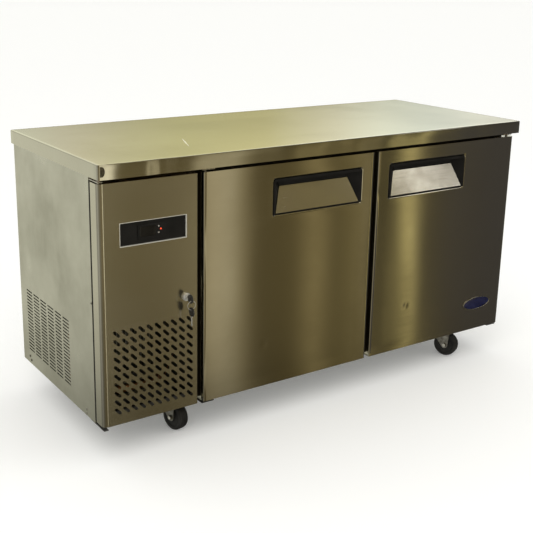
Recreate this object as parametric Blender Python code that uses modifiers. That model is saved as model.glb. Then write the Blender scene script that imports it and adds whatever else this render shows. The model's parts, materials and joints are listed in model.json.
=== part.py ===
"""Undercounter refrigerator: two insulated doors, a side machine compartment and four castors.

Metres, +Z up, the front faces -Y. The origin is on the floor, under the middle of the object.
Every sub-part is one object. The doors, the machine cover, the lock, the fans and the castors hang
from empties that sit on their joint axes.
"""

import math

import bmesh
import bpy
from mathutils import Matrix, Vector

# ---- Driving dimensions ---------------------------------------------------------------------
WIDTH = 1.500
DEPTH = 0.600
HEIGHT = 0.810
GAP = 0.0003          # kept between pieces that touch
SHEET = 0.001         # stainless sheet of the casing, doors and cover

WORKTOP_SHEET = 0.0012
WORKTOP_EDGE = 0.039  # height of the worktop's folded edge
SIDE_OVERHANG = 0.005
REAR_OVERHANG = 0.010

BODY_BOTTOM = 0.1005
BODY_TOP = HEIGHT - WORKTOP_EDGE - 0.0005
BODY_FRONT = -0.230
BODY_REAR = DEPTH / 2 - REAR_OVERHANG
BODY_SIDE = WIDTH / 2 - SIDE_OVERHANG

DOOR_FACE = -0.2825
DOOR_BACK = -0.2385
DOOR_BOTTOM = 0.107
DOOR_TOP = 0.758
DOOR_GAP = 0.018
DOOR_WIDTH = 0.585
COVER_RIGHT = -BODY_SIDE + 0.284
LEFT_DOOR = (COVER_RIGHT + DOOR_GAP, COVER_RIGHT + DOOR_GAP + DOOR_WIDTH)
RIGHT_DOOR = (BODY_SIDE - DOOR_WIDTH, BODY_SIDE)
EDGE_ROUND = 0.014    # the outer upright edges of the cover and the right door
FOLD_ROUND = 0.003    # every other folded edge

WALL = 0.050          # foam thickness of the cold cabinet
COLD_LEFT = -0.4512   # outside of the cold cabinet's left wall
COLD = (COLD_LEFT + WALL, BODY_SIDE - WALL - 0.0018)        # cavity in X
COLD_Z = (0.150, 0.722)
COLD_BACK = 0.238
FRAME_BACK = -0.2243
MULLION = (0.121, 0.181)

SIDE_FOLD = 0.017     # the left side panel's return at the front
REAR_VENTS = 12
REAR_VENT_X = (-0.700, -0.505)
REAR_VENT_START = 0.26
REAR_VENT_PITCH = 0.03
REAR_VENT_HEIGHT = 0.012
GLAND = (-0.600, 0.190)       # X and Z of the supply cord's outlet
GLAND_HOLE = 0.0105
STRIKE_LEFT = -0.4735
STRIKE_HALF = 0.030

PIN = 0.004           # radius of a door's hinge pin
PIN_LENGTH = 0.018
COVER_PIN = 0.003
HINGE_NOSE = 0.010    # how far a hinge plate runs past its pin
HINGE_UNDER = -0.190
COVER_HINGE_UNDER = -0.200
PIN_HOLE = 0.005
DOOR_PIVOT_IN = 0.015
PIVOT_Y = -0.2625
COVER_PIVOT = (-BODY_SIDE + 0.007, -0.272)

HANDLE_HALF = 0.158
HANDLE_Z = (0.614, 0.715)
HANDLE_SHIFT = 0.089  # from a door's middle towards its free edge
HANDLE_BACK = -0.2545
HANDLE_BODY_Z = (0.6125, 0.7265)
SWELLING_Z = (0.162, 0.708)   # the raised middle of a door's liner
SWELLING_FACE = -0.2225
GASKET_LIP = 0.013
BADGE = (0.6300, 0.1985)
BADGE_HALF = (0.062, 0.0215)
GRIP_FOOT = (DOOR_FACE, 0.617)
GRIP_HEAD = (DOOR_FACE + 0.025, 0.689)
GRIP_FOOT_HALF = 0.150
GRIP_HEAD_HALF = 0.123

FRONT_SLOTS = 10
FRONT_SLOT_PITCH = 0.024
FRONT_SLOT = (0.0265, 0.008)
FRONT_SLOT_START = (-0.7025, 0.1450)
SIDE_SLOT_COLUMNS = 6
SIDE_SLOT_ROWS = 20
SIDE_SLOT_PITCH = (0.0542, 0.0099)
SIDE_SLOT = (0.043, 0.004)
SIDE_SLOT_START = (-0.0505, 0.1482)

DISPLAY_X = (-0.688, -0.495)
DISPLAY_Z = (0.5905, 0.6530)
DISPLAY_RECESS = 0.006
CONTROLLER = (-0.595, 0.622)
CONTROLLER_HOLE = (0.0360, 0.0150)
CONTROLLER_BODY = (0.0355, 0.0145)
CONTROLLER_BEZEL = (0.040, 0.019)
BUTTON_X = -0.5763
BUTTON_Z = (0.6320, 0.6153)

LOCK = (-0.498, 0.427)
LOCK_FACE = -0.2905
CAM_Y = (-0.2268, -0.2248)
CAM_REACH = 0.040
BLADE_HALF = 0.003    # half the height of a key's blade

WHEEL_RADIUS = 0.040
WHEEL_HALF = 0.015
CASTOR_TRAIL = 0.032
AXLE = 0.004
PLATE_HALF = (0.036, 0.030)   # the castors' fixing plates in X and Y
RACEWAY_MIDDLE = 0.0942
RACEWAY_HEIGHT = 0.0088
# name, stem X, stem Y, turn about the stem in degrees
CASTORS = (
    ("front_left", -0.490, -0.164, 12.0),
    ("front_right", 0.561, -0.184, 24.0),
    ("rear_left", -0.490, 0.215, 6.0),
    ("rear_right", 0.561, 0.215, -9.0),
)

CONDENSER_X = (-0.725, -0.475)
CONDENSER_Z = (0.120, 0.400)
CONDENSER_Y = (-0.055, -0.012)
CONDENSER_FAN = (-0.600, 0.012, 0.260)
EVAPORATOR_X = (-0.3980, -0.3000)
EVAPORATOR_Y = (-0.120, 0.215)
EVAPORATOR_Z = (0.270, 0.700)
EVAPORATOR_FAN = (-0.318, 0.0475, 0.560)
RETURNS = 5           # openings low in the evaporator's cover
RETURN_START = -0.085
RETURN_PITCH = 0.060
RETURN_WIDTH = 0.040
RETURN_Z = (0.300, 0.400)
BLADE_PITCH = math.radians(26)
COMPRESSOR = (-0.600, 0.185, 0.1185)
SHELF_Z = 0.430
SHELF_WIRE = 0.005
SHELF_PITCH = 0.044
SHELVES = (("shelf_left", -0.292, 0.146), ("shelf_right", 0.156, 0.688))
SHELF_Y = (-0.186, 0.228)

# name: colour, roughness, metallic
MATERIALS = {
    "stainless": ((0.56, 0.54, 0.47), 0.30, 1.0),
    "galvanised": ((0.55, 0.57, 0.58), 0.45, 1.0),
    "zinc": ((0.62, 0.62, 0.60), 0.35, 1.0),
    "black_plastic": ((0.02, 0.02, 0.02), 0.45, 0.0),
    "black_rubber": ((0.015, 0.015, 0.015), 0.75, 0.0),
    "white_plastic": ((0.75, 0.76, 0.75), 0.45, 0.0),
    "foam": ((0.80, 0.74, 0.52), 0.95, 0.0),
    "board": ((0.45, 0.32, 0.20), 0.85, 0.0),
    "aluminium": ((0.75, 0.76, 0.77), 0.40, 1.0),
    "black_steel": ((0.03, 0.03, 0.032), 0.40, 0.0),
    "coated_wire": ((0.70, 0.71, 0.70), 0.40, 0.0),
    "badge_blue": ((0.02, 0.03, 0.16), 0.25, 0.0),
}


# ---- Helpers --------------------------------------------------------------------------------
def start_scene():
    """Empties the scene and makes the collections for the parts and for the cutters."""
    for obj in list(bpy.data.objects):
        bpy.data.objects.remove(obj)
    found = {}
    for name in ("undercounter_refrigerator", "cutters"):
        found[name] = bpy.data.collections.new(name)
        bpy.context.scene.collection.children.link(found[name])
    return found


COLLECTIONS = start_scene()


def material(name):
    """The named finish as a Principled material, made once."""
    if name in bpy.data.materials:
        return bpy.data.materials[name]
    colour, roughness, metallic = MATERIALS[name]
    made = bpy.data.materials.new(name)
    made.use_nodes = True
    shader = made.node_tree.nodes["Principled BSDF"]
    shader.inputs["Base Color"].default_value = (*colour, 1.0)
    shader.inputs["Roughness"].default_value = roughness
    shader.inputs["Metallic"].default_value = metallic
    made.diffuse_color = (*colour, 1.0)
    return made


def part(name, mesh, finish=None):
    """An object for mesh, with its origin at the middle of its own box. Without a finish it is a cutter."""
    corners = [Vector(v.co) for v in mesh.vertices]
    low = Vector(min(c[k] for c in corners) for k in range(3))
    high = Vector(max(c[k] for c in corners) for k in range(3))
    middle = (low + high) / 2
    mesh.transform(Matrix.Translation(-middle))
    obj = bpy.data.objects.new(name, mesh)
    obj.location = middle
    if finish is None:
        COLLECTIONS["cutters"].objects.link(obj)
        obj.hide_render = True
        obj.display_type = "WIRE"
    else:
        COLLECTIONS["undercounter_refrigerator"].objects.link(obj)
        mesh.materials.append(material(finish))
    return obj


def box(name, x, y, z, finish=None):
    """A block between two values in each of X, Y and Z."""
    bm = bmesh.new()
    size = Vector((x[1] - x[0], y[1] - y[0], z[1] - z[0]))
    middle = Vector(((x[0] + x[1]) / 2, (y[0] + y[1]) / 2, (z[0] + z[1]) / 2))
    place = Matrix.Translation(middle) @ Matrix.Diagonal((*size, 1.0))
    bmesh.ops.create_cube(bm, size=1.0, matrix=place)
    mesh = bpy.data.meshes.new(name)
    bm.to_mesh(mesh)
    bm.free()
    return part(name, mesh, finish)


def along(axis):
    """The rotation that carries local Z to axis and keeps the order of a prism's outline points."""
    order = {"X": ((0, 1, 0), (0, 0, 1), (1, 0, 0)), "Y": ((0, 0, 1), (1, 0, 0), (0, 1, 0))}
    if axis == "Z":
        return Matrix.Identity(4)
    return Matrix(order[axis]).transposed().to_4x4()


def cylinder(name, centre, axis, radius, length, segments=16, finish=None, end_radius=None):
    """A cylinder, or a cone with end_radius, centred on centre along axis."""
    bm = bmesh.new()
    bmesh.ops.create_cone(
        bm, cap_ends=True, segments=segments, radius1=radius,
        radius2=radius if end_radius is None else end_radius, depth=length,
        matrix=Matrix.Translation(centre) @ along(axis),
    )
    mesh = bpy.data.meshes.new(name)
    bm.to_mesh(mesh)
    bm.free()
    obj = part(name, mesh, finish)
    mesh.shade_smooth()
    mesh.set_sharp_from_angle(angle=math.radians(35))
    return obj


def prism_mesh(name, outlines, span, axis):
    """Flat closed outlines extruded over span along axis. Outline points are (x, y) for axis Z,
    (y, z) for axis X and (x, z) for axis Y."""
    curve = bpy.data.curves.new(name, "CURVE")
    curve.dimensions = "2D"
    curve.fill_mode = "BOTH"
    curve.extrude = (span[1] - span[0]) / 2
    for outline in outlines:
        spline = curve.splines.new("POLY")
        spline.points.add(len(outline) - 1)
        for point, (u, v) in zip(spline.points, outline):
            point.co = (v, u, 0, 1) if axis == "Y" else (u, v, 0, 1)
        spline.use_cyclic_u = True
    holder = bpy.data.objects.new(name + "_outline", curve)
    bpy.context.scene.collection.objects.link(holder)
    graph = bpy.context.evaluated_depsgraph_get()
    mesh = bpy.data.meshes.new_from_object(holder.evaluated_get(graph))
    bpy.data.objects.remove(holder)
    bm = bmesh.new()
    bm.from_mesh(mesh)
    bmesh.ops.remove_doubles(bm, verts=bm.verts, dist=0.00001)
    bmesh.ops.dissolve_limit(bm, angle_limit=0.001, verts=bm.verts, edges=bm.edges)
    bmesh.ops.recalc_face_normals(bm, faces=bm.faces)
    bm.to_mesh(mesh)
    bm.free()
    middle = (span[0] + span[1]) / 2
    mesh.transform(along(axis) @ Matrix.Translation((0, 0, middle)))
    mesh.shade_flat()
    return mesh


def prism(name, outlines, span, axis, finish=None):
    return part(name, prism_mesh(name, outlines, span, axis), finish)


def ellipse(middle, half, steps):
    """An ellipse's outline about middle, with half its width and half its height."""
    turns = [2 * math.pi * k / steps for k in range(steps)]
    return [(middle[0] + half[0] * math.cos(a), middle[1] + half[1] * math.sin(a)) for a in turns]


def rectangle(u, v, rounds=(0, 0, 0, 0), steps=4):
    """A rectangle's outline with rounded corners. rounds gives their radii in this order: (low u, low v),
    (high u, low v), (high u, high v), (low u, high v)."""
    corners = ((u[0], v[0], 1, 1), (u[1], v[0], -1, 1), (u[1], v[1], -1, -1), (u[0], v[1], 1, -1))
    points = []
    for k, (cu, cv, du, dv) in enumerate(corners):
        r = rounds[k]
        if r == 0:
            points.append((cu, cv))
            continue
        start = math.pi + k * math.pi / 2
        for s in range(steps + 1):
            a = start + s * math.pi / 2 / steps
            points.append((cu + du * r + r * math.cos(a), cv + dv * r + r * math.sin(a)))
    return points


def pan(name, outline, span, axis, thickness, open_towards, finish):
    """A folded sheet: the prism's skin with the faces that look open_towards removed, thickened inwards."""
    mesh = prism_mesh(name, [outline], span, axis)
    bm = bmesh.new()
    bm.from_mesh(mesh)
    away = [f for f in bm.faces if f.normal.dot(Vector(open_towards)) > 0.99]
    bmesh.ops.delete(bm, geom=away, context="FACES")
    bm.to_mesh(mesh)
    bm.free()
    obj = part(name, mesh, finish)
    solidify = obj.modifiers.new("sheet", "SOLIDIFY")
    solidify.thickness = thickness
    solidify.offset = -1.0
    solidify.use_even_offset = True
    return obj


def turned(name, profile, place, finish=None, steps=24, closed=False):
    """A profile of (radius, height) points turned about local Z. place is the matrix that puts it in
    the object."""
    mesh = bpy.data.meshes.new(name)
    count = len(profile)
    edges = [(k, k + 1) for k in range(count - 1)] + ([(count - 1, 0)] if closed else [])
    mesh.from_pydata([(r, 0.0, h) for r, h in profile], edges, [])
    obj = bpy.data.objects.new(name, mesh)
    COLLECTIONS["undercounter_refrigerator" if finish else "cutters"].objects.link(obj)
    if finish:
        mesh.materials.append(material(finish))
    else:
        obj.hide_render = True
        obj.display_type = "WIRE"
    screw = obj.modifiers.new("turn", "SCREW")
    screw.steps = screw.render_steps = steps
    screw.use_merge_vertices = True
    screw.merge_threshold = 0.00001
    screw.use_smooth_shade = True
    obj.matrix_world = place
    return obj


def combine(obj, tool, operation):
    """Adds a Boolean that cuts tool from obj, or joins it on."""
    boolean = obj.modifiers.new(operation.lower(), "BOOLEAN")
    boolean.operation = operation
    boolean.object = tool
    return obj


def cut(obj, *tools):
    for tool in tools:
        combine(obj, tool, "DIFFERENCE")
    return obj


def join(obj, *tools):
    for tool in tools:
        combine(obj, tool, "UNION")
    return obj


def pivot(name, place, turn=0.0, parent=None):
    """An empty on a joint's axis."""
    empty = bpy.data.objects.new(name, None)
    COLLECTIONS["undercounter_refrigerator"].objects.link(empty)
    empty.location = place
    empty.rotation_euler = (0, 0, turn)
    empty.parent = parent
    bpy.context.view_layer.update()
    return empty


def hang(empty, *objects):
    """Parents objects to an empty and leaves them where they are."""
    bpy.context.view_layer.update()
    for obj in objects:
        obj.parent = empty
        obj.matrix_parent_inverse = empty.matrix_world.inverted()


# ---- Worktop --------------------------------------------------------------------------------
def worktop():
    """A pressed sheet with folded edges over a board."""
    rounds = (0.006, 0.006, 0.002, 0.002)
    half, deep = WIDTH / 2, DEPTH / 2
    edge = rectangle((-half, half), (-deep, deep), rounds)
    pan("worktop", edge, (HEIGHT - WORKTOP_EDGE, HEIGHT), "Z", WORKTOP_SHEET, (0, 0, -1), "stainless")
    inset = WORKTOP_SHEET + GAP
    board = rectangle(
        (-half + inset, half - inset), (-deep + inset, deep - inset), [r + 0.001 for r in rounds]
    )
    prism("worktop_board", [board], (HEIGHT - WORKTOP_EDGE + GAP, HEIGHT - inset), "Z", "board")


# ---- Casing ---------------------------------------------------------------------------------
def side_slot_outlines():
    """The side grille's slots as (y, z) outlines."""
    length, height = SIDE_SLOT
    found = []
    for column in range(SIDE_SLOT_COLUMNS):
        for row in range(SIDE_SLOT_ROWS):
            y = SIDE_SLOT_START[0] + column * SIDE_SLOT_PITCH[0]
            z = SIDE_SLOT_START[1] + row * SIDE_SLOT_PITCH[1]
            found.append(rectangle((y - length / 2, y + length / 2), (z - height / 2, z + height / 2)))
    return found


def casing():
    """The outer sheets of the carcass."""
    height = (BODY_BOTTOM, BODY_TOP)
    left = [
        (-BODY_SIDE, BODY_FRONT), (-BODY_SIDE + SIDE_FOLD, BODY_FRONT),
        (-BODY_SIDE + SIDE_FOLD, BODY_FRONT + SHEET), (-BODY_SIDE + SHEET, BODY_FRONT + SHEET),
        (-BODY_SIDE + SHEET, BODY_REAR), (-BODY_SIDE, BODY_REAR),
    ]
    panel = prism("left_side_panel", [left], height, "Z", "stainless")
    slots = prism("side_slots", side_slot_outlines(), (-BODY_SIDE - 0.01, -BODY_SIDE + 0.01), "X")
    cut(panel, slots)
    box("right_side_panel", (BODY_SIDE - SHEET, BODY_SIDE), (BODY_FRONT, BODY_REAR), height, "stainless")

    inside = BODY_SIDE - SHEET - GAP
    back = box("back_panel", (-inside, inside), (BODY_REAR - SHEET, BODY_REAR), height, "galvanised")
    vents = []
    for row in range(REAR_VENTS):
        z = REAR_VENT_START + row * REAR_VENT_PITCH
        vents.append(rectangle(REAR_VENT_X, (z, z + REAR_VENT_HEIGHT)))
    cut(back, prism("rear_vents", vents, (BODY_REAR - 0.01, BODY_REAR + 0.01), "Y"))
    cut(back, cylinder("gland_hole", (GLAND[0], BODY_REAR, GLAND[1]), "Y", GLAND_HOLE, 0.02, 16))

    floor = box(
        "base_pan", (-inside, inside), (BODY_FRONT + SHEET + GAP, BODY_REAR - SHEET - GAP),
        (BODY_BOTTOM, BODY_BOTTOM + 0.0012), "galvanised",
    )
    for name, x, y, _ in CASTORS:
        plate = box(
            name + "_castor_plate", (x - PLATE_HALF[0], x + PLATE_HALF[0]),
            (y - PLATE_HALF[1], y + PLATE_HALF[1]),
            (BODY_BOTTOM - 0.003, BODY_BOTTOM + 0.0006),
        )
        raceway = cylinder(name + "_raceway", (x, y, RACEWAY_MIDDLE), "Z", 0.018, RACEWAY_HEIGHT, 16)
        join(floor, plate, raceway)

    z = (BODY_BOTTOM + 0.0015, BODY_TOP - GAP)
    across = (COLD_LEFT - GAP - SHEET, COLD_LEFT - GAP)
    wall = box(
        "partition_panel", across, (BODY_FRONT + GAP, BODY_REAR - SHEET - GAP), z, "galvanised"
    )
    # The cam turns behind this strike.
    strike = box(
        "lock_strike", (STRIKE_LEFT, COLD_LEFT - 0.0006), (BODY_FRONT + GAP, BODY_FRONT + 0.0015),
        (LOCK[1] - STRIKE_HALF, LOCK[1] + STRIKE_HALF),
    )
    join(wall, strike)


def cable_gland():
    """The gland that the supply cord passes through, on the machine compartment's back."""
    place = Matrix.Translation((GLAND[0], BODY_REAR, GLAND[1])) @ along("Y")
    profile = [
        (0.0065, 0.035), (0.0120, 0.035), (0.0150, 0.028), (0.0150, GAP), (0.0100, GAP),
        (0.0100, -0.0035), (0.0150, -0.0035), (0.0150, -0.009), (0.0065, -0.009),
    ]
    turned("cable_gland", profile, place, "black_plastic", 16, closed=True)


# ---- Cold cabinet ---------------------------------------------------------------------------
def cold_cabinet():
    """Foam tub, liner, the black frame round its mouth and the upright between the doors."""
    z = (BODY_BOTTOM + 0.0017, BODY_TOP - GAP)
    outside = (COLD_LEFT, BODY_SIDE - SHEET - 0.0008)
    foam = box("insulation", outside, (FRAME_BACK + GAP, 0.2884), z, "foam")
    cut(foam, box("cold_cavity", COLD, (BODY_FRONT - 0.02, COLD_BACK), COLD_Z))

    liner = rectangle((COLD[0] + GAP, COLD[1] - GAP), (COLD_Z[0] + GAP, COLD_Z[1] - GAP))
    pan("inner_liner", liner, (FRAME_BACK + GAP, COLD_BACK - GAP), "Y", SHEET, (0, -1, 0), "aluminium")

    frame = box("front_frame", outside, (BODY_FRONT, FRAME_BACK), z, "black_plastic")
    mouth = ((COLD[0] + 0.002, COLD[1] - 0.002), (COLD_Z[0] + 0.002, COLD_Z[1] - 0.002))
    cut(frame, box("frame_mouth", mouth[0], (BODY_FRONT - 0.02, FRAME_BACK + 0.02), mouth[1]))
    box(
        "centre_mullion", MULLION, (BODY_FRONT, -0.195),
        (mouth[1][0] + GAP, mouth[1][1] - GAP), "black_plastic",
    )


def wire_shelf(name, x0, x1):
    """A shelf of welded wire: a frame, wires from front to back and two cross bars under them."""
    wire = SHELF_WIRE
    y0, y1 = SHELF_Y
    z = (SHELF_Z, SHELF_Z + wire)
    shelf = box(name, (x0, x1), SHELF_Y, z, "coated_wire")
    count = round((x1 - x0) / SHELF_PITCH)
    pitch = (x1 - x0 - wire) / count
    holes = [
        rectangle((x0 + wire + k * pitch, x0 + (k + 1) * pitch), (y0 + wire, y1 - wire))
        for k in range(count)
    ]
    cut(shelf, prism(name + "_holes", holes, (SHELF_Z - 0.01, SHELF_Z + 0.02), "Z"))
    for k, share in enumerate((0.33, 0.67)):
        y = y0 + share * (y1 - y0)
        bar = box(
            f"{name}_bar_{k}", (x0 + 0.001, x1 - 0.001), (y - wire / 2, y + wire / 2),
            (SHELF_Z - 0.004, SHELF_Z + 0.001),
        )
        join(shelf, bar)


def finned_block(name, x, y, z, across, count, web):
    """A heat exchanger: a block with saw cuts that leave fins on a web."""
    block = box(name, x, y, z, "aluminium")
    axis = {"X": x, "Y": y}[across]
    pitch = (axis[1] - axis[0]) / count
    cuts = []
    for k in range(count - 1):
        middle = axis[0] + (k + 1) * pitch
        cuts.append((middle - pitch * 0.36, middle + pitch * 0.36))
    if across == "X":
        outlines = [rectangle(c, (y[0] - 0.01, y[1] - web)) for c in cuts]
    else:
        outlines = [rectangle((x[0] + web, x[1] + 0.01), c) for c in cuts]
    return cut(block, prism(name + "_cuts", outlines, (z[0] - 0.01, z[1] + 0.01), "Z"))


def fan(name, place, axis, tip, root, hub_length, blades=5):
    """A hub with pitched blades, hung from an empty on its shaft."""
    turn = Matrix.Translation(place) @ along(axis)
    hub = cylinder(name, place, axis, root, hub_length, 16, "black_plastic")
    pitched = Matrix.Rotation(BLADE_PITCH, 4, "X")
    narrow, broad = tip * 0.10, tip * 0.26
    for k in range(blades):
        outline = [(root * 0.7, -narrow), (tip, -broad), (tip, broad), (root * 0.7, narrow)]
        mesh = prism_mesh(f"{name}_blade_{k}", [outline], (-0.0009, 0.0009), "Z")
        mesh.transform(turn @ Matrix.Rotation(2 * math.pi * k / blades, 4, "Z") @ pitched)
        join(hub, part(f"{name}_blade_{k}", mesh))
    hang(pivot(name + "_shaft", place), hub)


def evaporator():
    """The cooler on the cabinet's left inner wall: cover, coil and fan."""
    outline = rectangle(EVAPORATOR_Y, EVAPORATOR_Z)
    cover = pan("evaporator_cover", outline, EVAPORATOR_X, "X", 0.0012, (-1, 0, 0), "white_plastic")
    x, y, z = EVAPORATOR_FAN
    cut(cover, cylinder("evaporator_mouth", (EVAPORATOR_X[1], y, z), "X", 0.078, 0.03, 24))
    returns = []
    for k in range(RETURNS):
        start = RETURN_START + k * RETURN_PITCH
        returns.append(rectangle((start, start + RETURN_WIDTH), RETURN_Z))
    through = (EVAPORATOR_X[1] - 0.01, EVAPORATOR_X[1] + 0.01)
    cut(cover, prism("evaporator_returns", returns, through, "X"))
    finned_block("evaporator_coil", (-0.3960, -0.352), (-0.105, 0.200), (0.300, 0.680), "Y", 14, 0.012)
    fan("evaporator_fan", EVAPORATOR_FAN, "X", 0.070, 0.017, 0.022)


# ---- Machine compartment --------------------------------------------------------------------
def machine_compartment():
    """What runs the cold side, on a tray that slides out to the front."""
    tray = rectangle((-0.735, -0.462), (-0.222, 0.280))
    pan("machine_tray", tray, (BODY_BOTTOM + 0.0017, 0.115), "Z", 0.0012, (0, 0, 1), "galvanised")

    finned_block("condenser_coil", CONDENSER_X, CONDENSER_Y, CONDENSER_Z, "X", 26, 0.008)
    x, y, z = CONDENSER_FAN
    shroud = prism(
        "fan_shroud", [rectangle(CONDENSER_X, CONDENSER_Z)],
        (CONDENSER_Y[1] + GAP, CONDENSER_Y[1] + 0.0023), "Y", "black_steel",
    )
    ring = cylinder("shroud_ring", (x, -0.0006, z), "Y", 0.1095, 0.020, 28)
    join(shroud, ring)
    cut(shroud, cylinder("shroud_mouth", (x, 0.0, z), "Y", 0.1075, 0.06, 28))
    fan("condenser_fan", CONDENSER_FAN, "Y", 0.100, 0.022, 0.018)

    motor = cylinder("condenser_fan_motor", (x, 0.052, z), "Y", 0.036, 0.050, 20, "black_steel")
    bracket = box(
        "motor_bracket", (CONDENSER_X[0] + 0.002, CONDENSER_X[1] - 0.002), (0.066, 0.070),
        (z - 0.012, z + 0.012),
    )
    shaft = cylinder("motor_shaft", (x, 0.0255, z), "Y", 0.005, 0.008, 10)
    join(motor, bracket, shaft)

    dome = [
        (0.0, 0.165), (0.030, 0.162), (0.055, 0.148), (0.068, 0.122), (0.072, 0.090), (0.072, 0.040),
        (0.068, 0.014), (0.052, 0.0), (0.0, 0.0),
    ]
    shell = turned("compressor", dome, Matrix.Translation(COMPRESSOR), "black_steel", 24)
    foot = prism(
        "compressor_feet", [rectangle((-0.695, -0.505), (0.130, 0.240), (0.02,) * 4, 3)],
        (0.1175, 0.1215), "Z",
    )
    join(shell, foot)


# ---- Hinges ---------------------------------------------------------------------------------
def hinge_pair(name, x, y, reach, pin, under):
    """The plates above and below a door, each with its pin. reach is the plates' X span, and under is
    the Y at which the lower one ends beneath the base."""
    nose = y - HINGE_NOSE
    plate = (DOOR_TOP + 0.0035, DOOR_TOP + 0.0060)
    top = box(name + "_top_hinge", reach, (nose, BODY_FRONT - GAP), plate, "zinc")
    upright = (plate[0], BODY_TOP - GAP)
    tab = box(name + "_top_tab", reach, (BODY_FRONT - 0.0035, BODY_FRONT - GAP), upright)
    down = cylinder(name + "_top_pin", (x, y, DOOR_TOP - 0.001), "Z", pin, PIN_LENGTH, 12)
    join(top, tab, down)

    low = BODY_BOTTOM - 0.0028
    flat = (low, BODY_BOTTOM - GAP)
    bottom = box(name + "_bottom_hinge", reach, (nose, under), flat, "black_steel")
    up = cylinder(name + "_bottom_pin", (x, y, DOOR_BOTTOM - 0.0005), "Z", pin, PIN_LENGTH, 12)
    rivet = cylinder(name + "_bottom_rivet", (x, y, low - 0.001), "Z", pin * 1.3, 0.004, 12)
    join(bottom, up, rivet)


def pin_holes(obj, name, x, y, radius):
    """Cuts a door piece clear of the two pins."""
    for end, z in (("top", DOOR_TOP), ("bottom", DOOR_BOTTOM)):
        cut(obj, cylinder(f"{name}_{end}_hole", (x, y, z), "Z", radius, 0.030, 12))
    return obj


# ---- Doors ----------------------------------------------------------------------------------
def handle(name, x):
    """A black moulding let into the door's skin, with a sloping steel plate as the floor of its pocket."""
    half = HANDLE_HALF
    low, high = HANDLE_Z
    flange = prism(
        name + "_handle", [rectangle((x - half, x + half), (low, high), (0, 0, 0.008, 0.008), 3)],
        (DOOR_FACE - 0.0015, DOOR_FACE - GAP), "Y", "black_plastic",
    )
    neck = box(
        name + "_handle_neck", (x - half + 0.003, x + half - 0.003), (DOOR_FACE - 0.001, -0.2780),
        (low, high - 0.002),
    )
    body = box(
        name + "_handle_body", (x - half + 0.0035, x + half - 0.0035),
        (DOOR_FACE + SHEET + GAP, HANDLE_BACK), HANDLE_BODY_Z,
    )
    (y0, z0), (y1, z1) = GRIP_FOOT, GRIP_HEAD
    room = 0.0013
    mouth, ceiling, lintel = DOOR_FACE - 0.02, HANDLE_BODY_Z[1] - 0.003, DOOR_FACE + 0.006
    section = [
        (mouth, z0 - 0.0005), (y0 + room, z0 - 0.0005), (y1 + room, z1 - 0.0005), (y1 + room, ceiling),
        (lintel, ceiling), (lintel, high - 0.008), (mouth, high - 0.008),
    ]
    pocket_mesh = prism_mesh(name + "_pocket", [section], (x - GRIP_FOOT_HALF, x + GRIP_FOOT_HALF), "X")
    # The pocket narrows evenly from its mouth to its back.
    for vertex in pocket_mesh.vertices:
        share = (vertex.co.y - y0) / (y1 - y0)
        half_here = GRIP_FOOT_HALF + room + share * (GRIP_HEAD_HALF - GRIP_FOOT_HALF)
        vertex.co.x = x + math.copysign(half_here, vertex.co.x - x)
    join(flange, neck, body)
    cut(flange, part(name + "_pocket", pocket_mesh))

    slope = Vector((0, y1 - y0, z1 - z0))
    outline = [
        (-GRIP_FOOT_HALF + 0.0008, 0.0005), (GRIP_FOOT_HALF - 0.0008, 0.0005),
        (GRIP_HEAD_HALF - 0.0008, slope.length - 0.0008), (-GRIP_HEAD_HALF + 0.0008, slope.length - 0.0008),
    ]
    mesh = prism_mesh(name + "_grip_plate", [outline], (-0.0009, -0.0001), "Z")
    tilt = math.atan2(slope.z, slope.y)
    mesh.transform(Matrix.Translation((x, y0, z0)) @ Matrix.Rotation(tilt, 4, "X"))
    return flange, part(name + "_grip_plate", mesh, "stainless")


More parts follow.
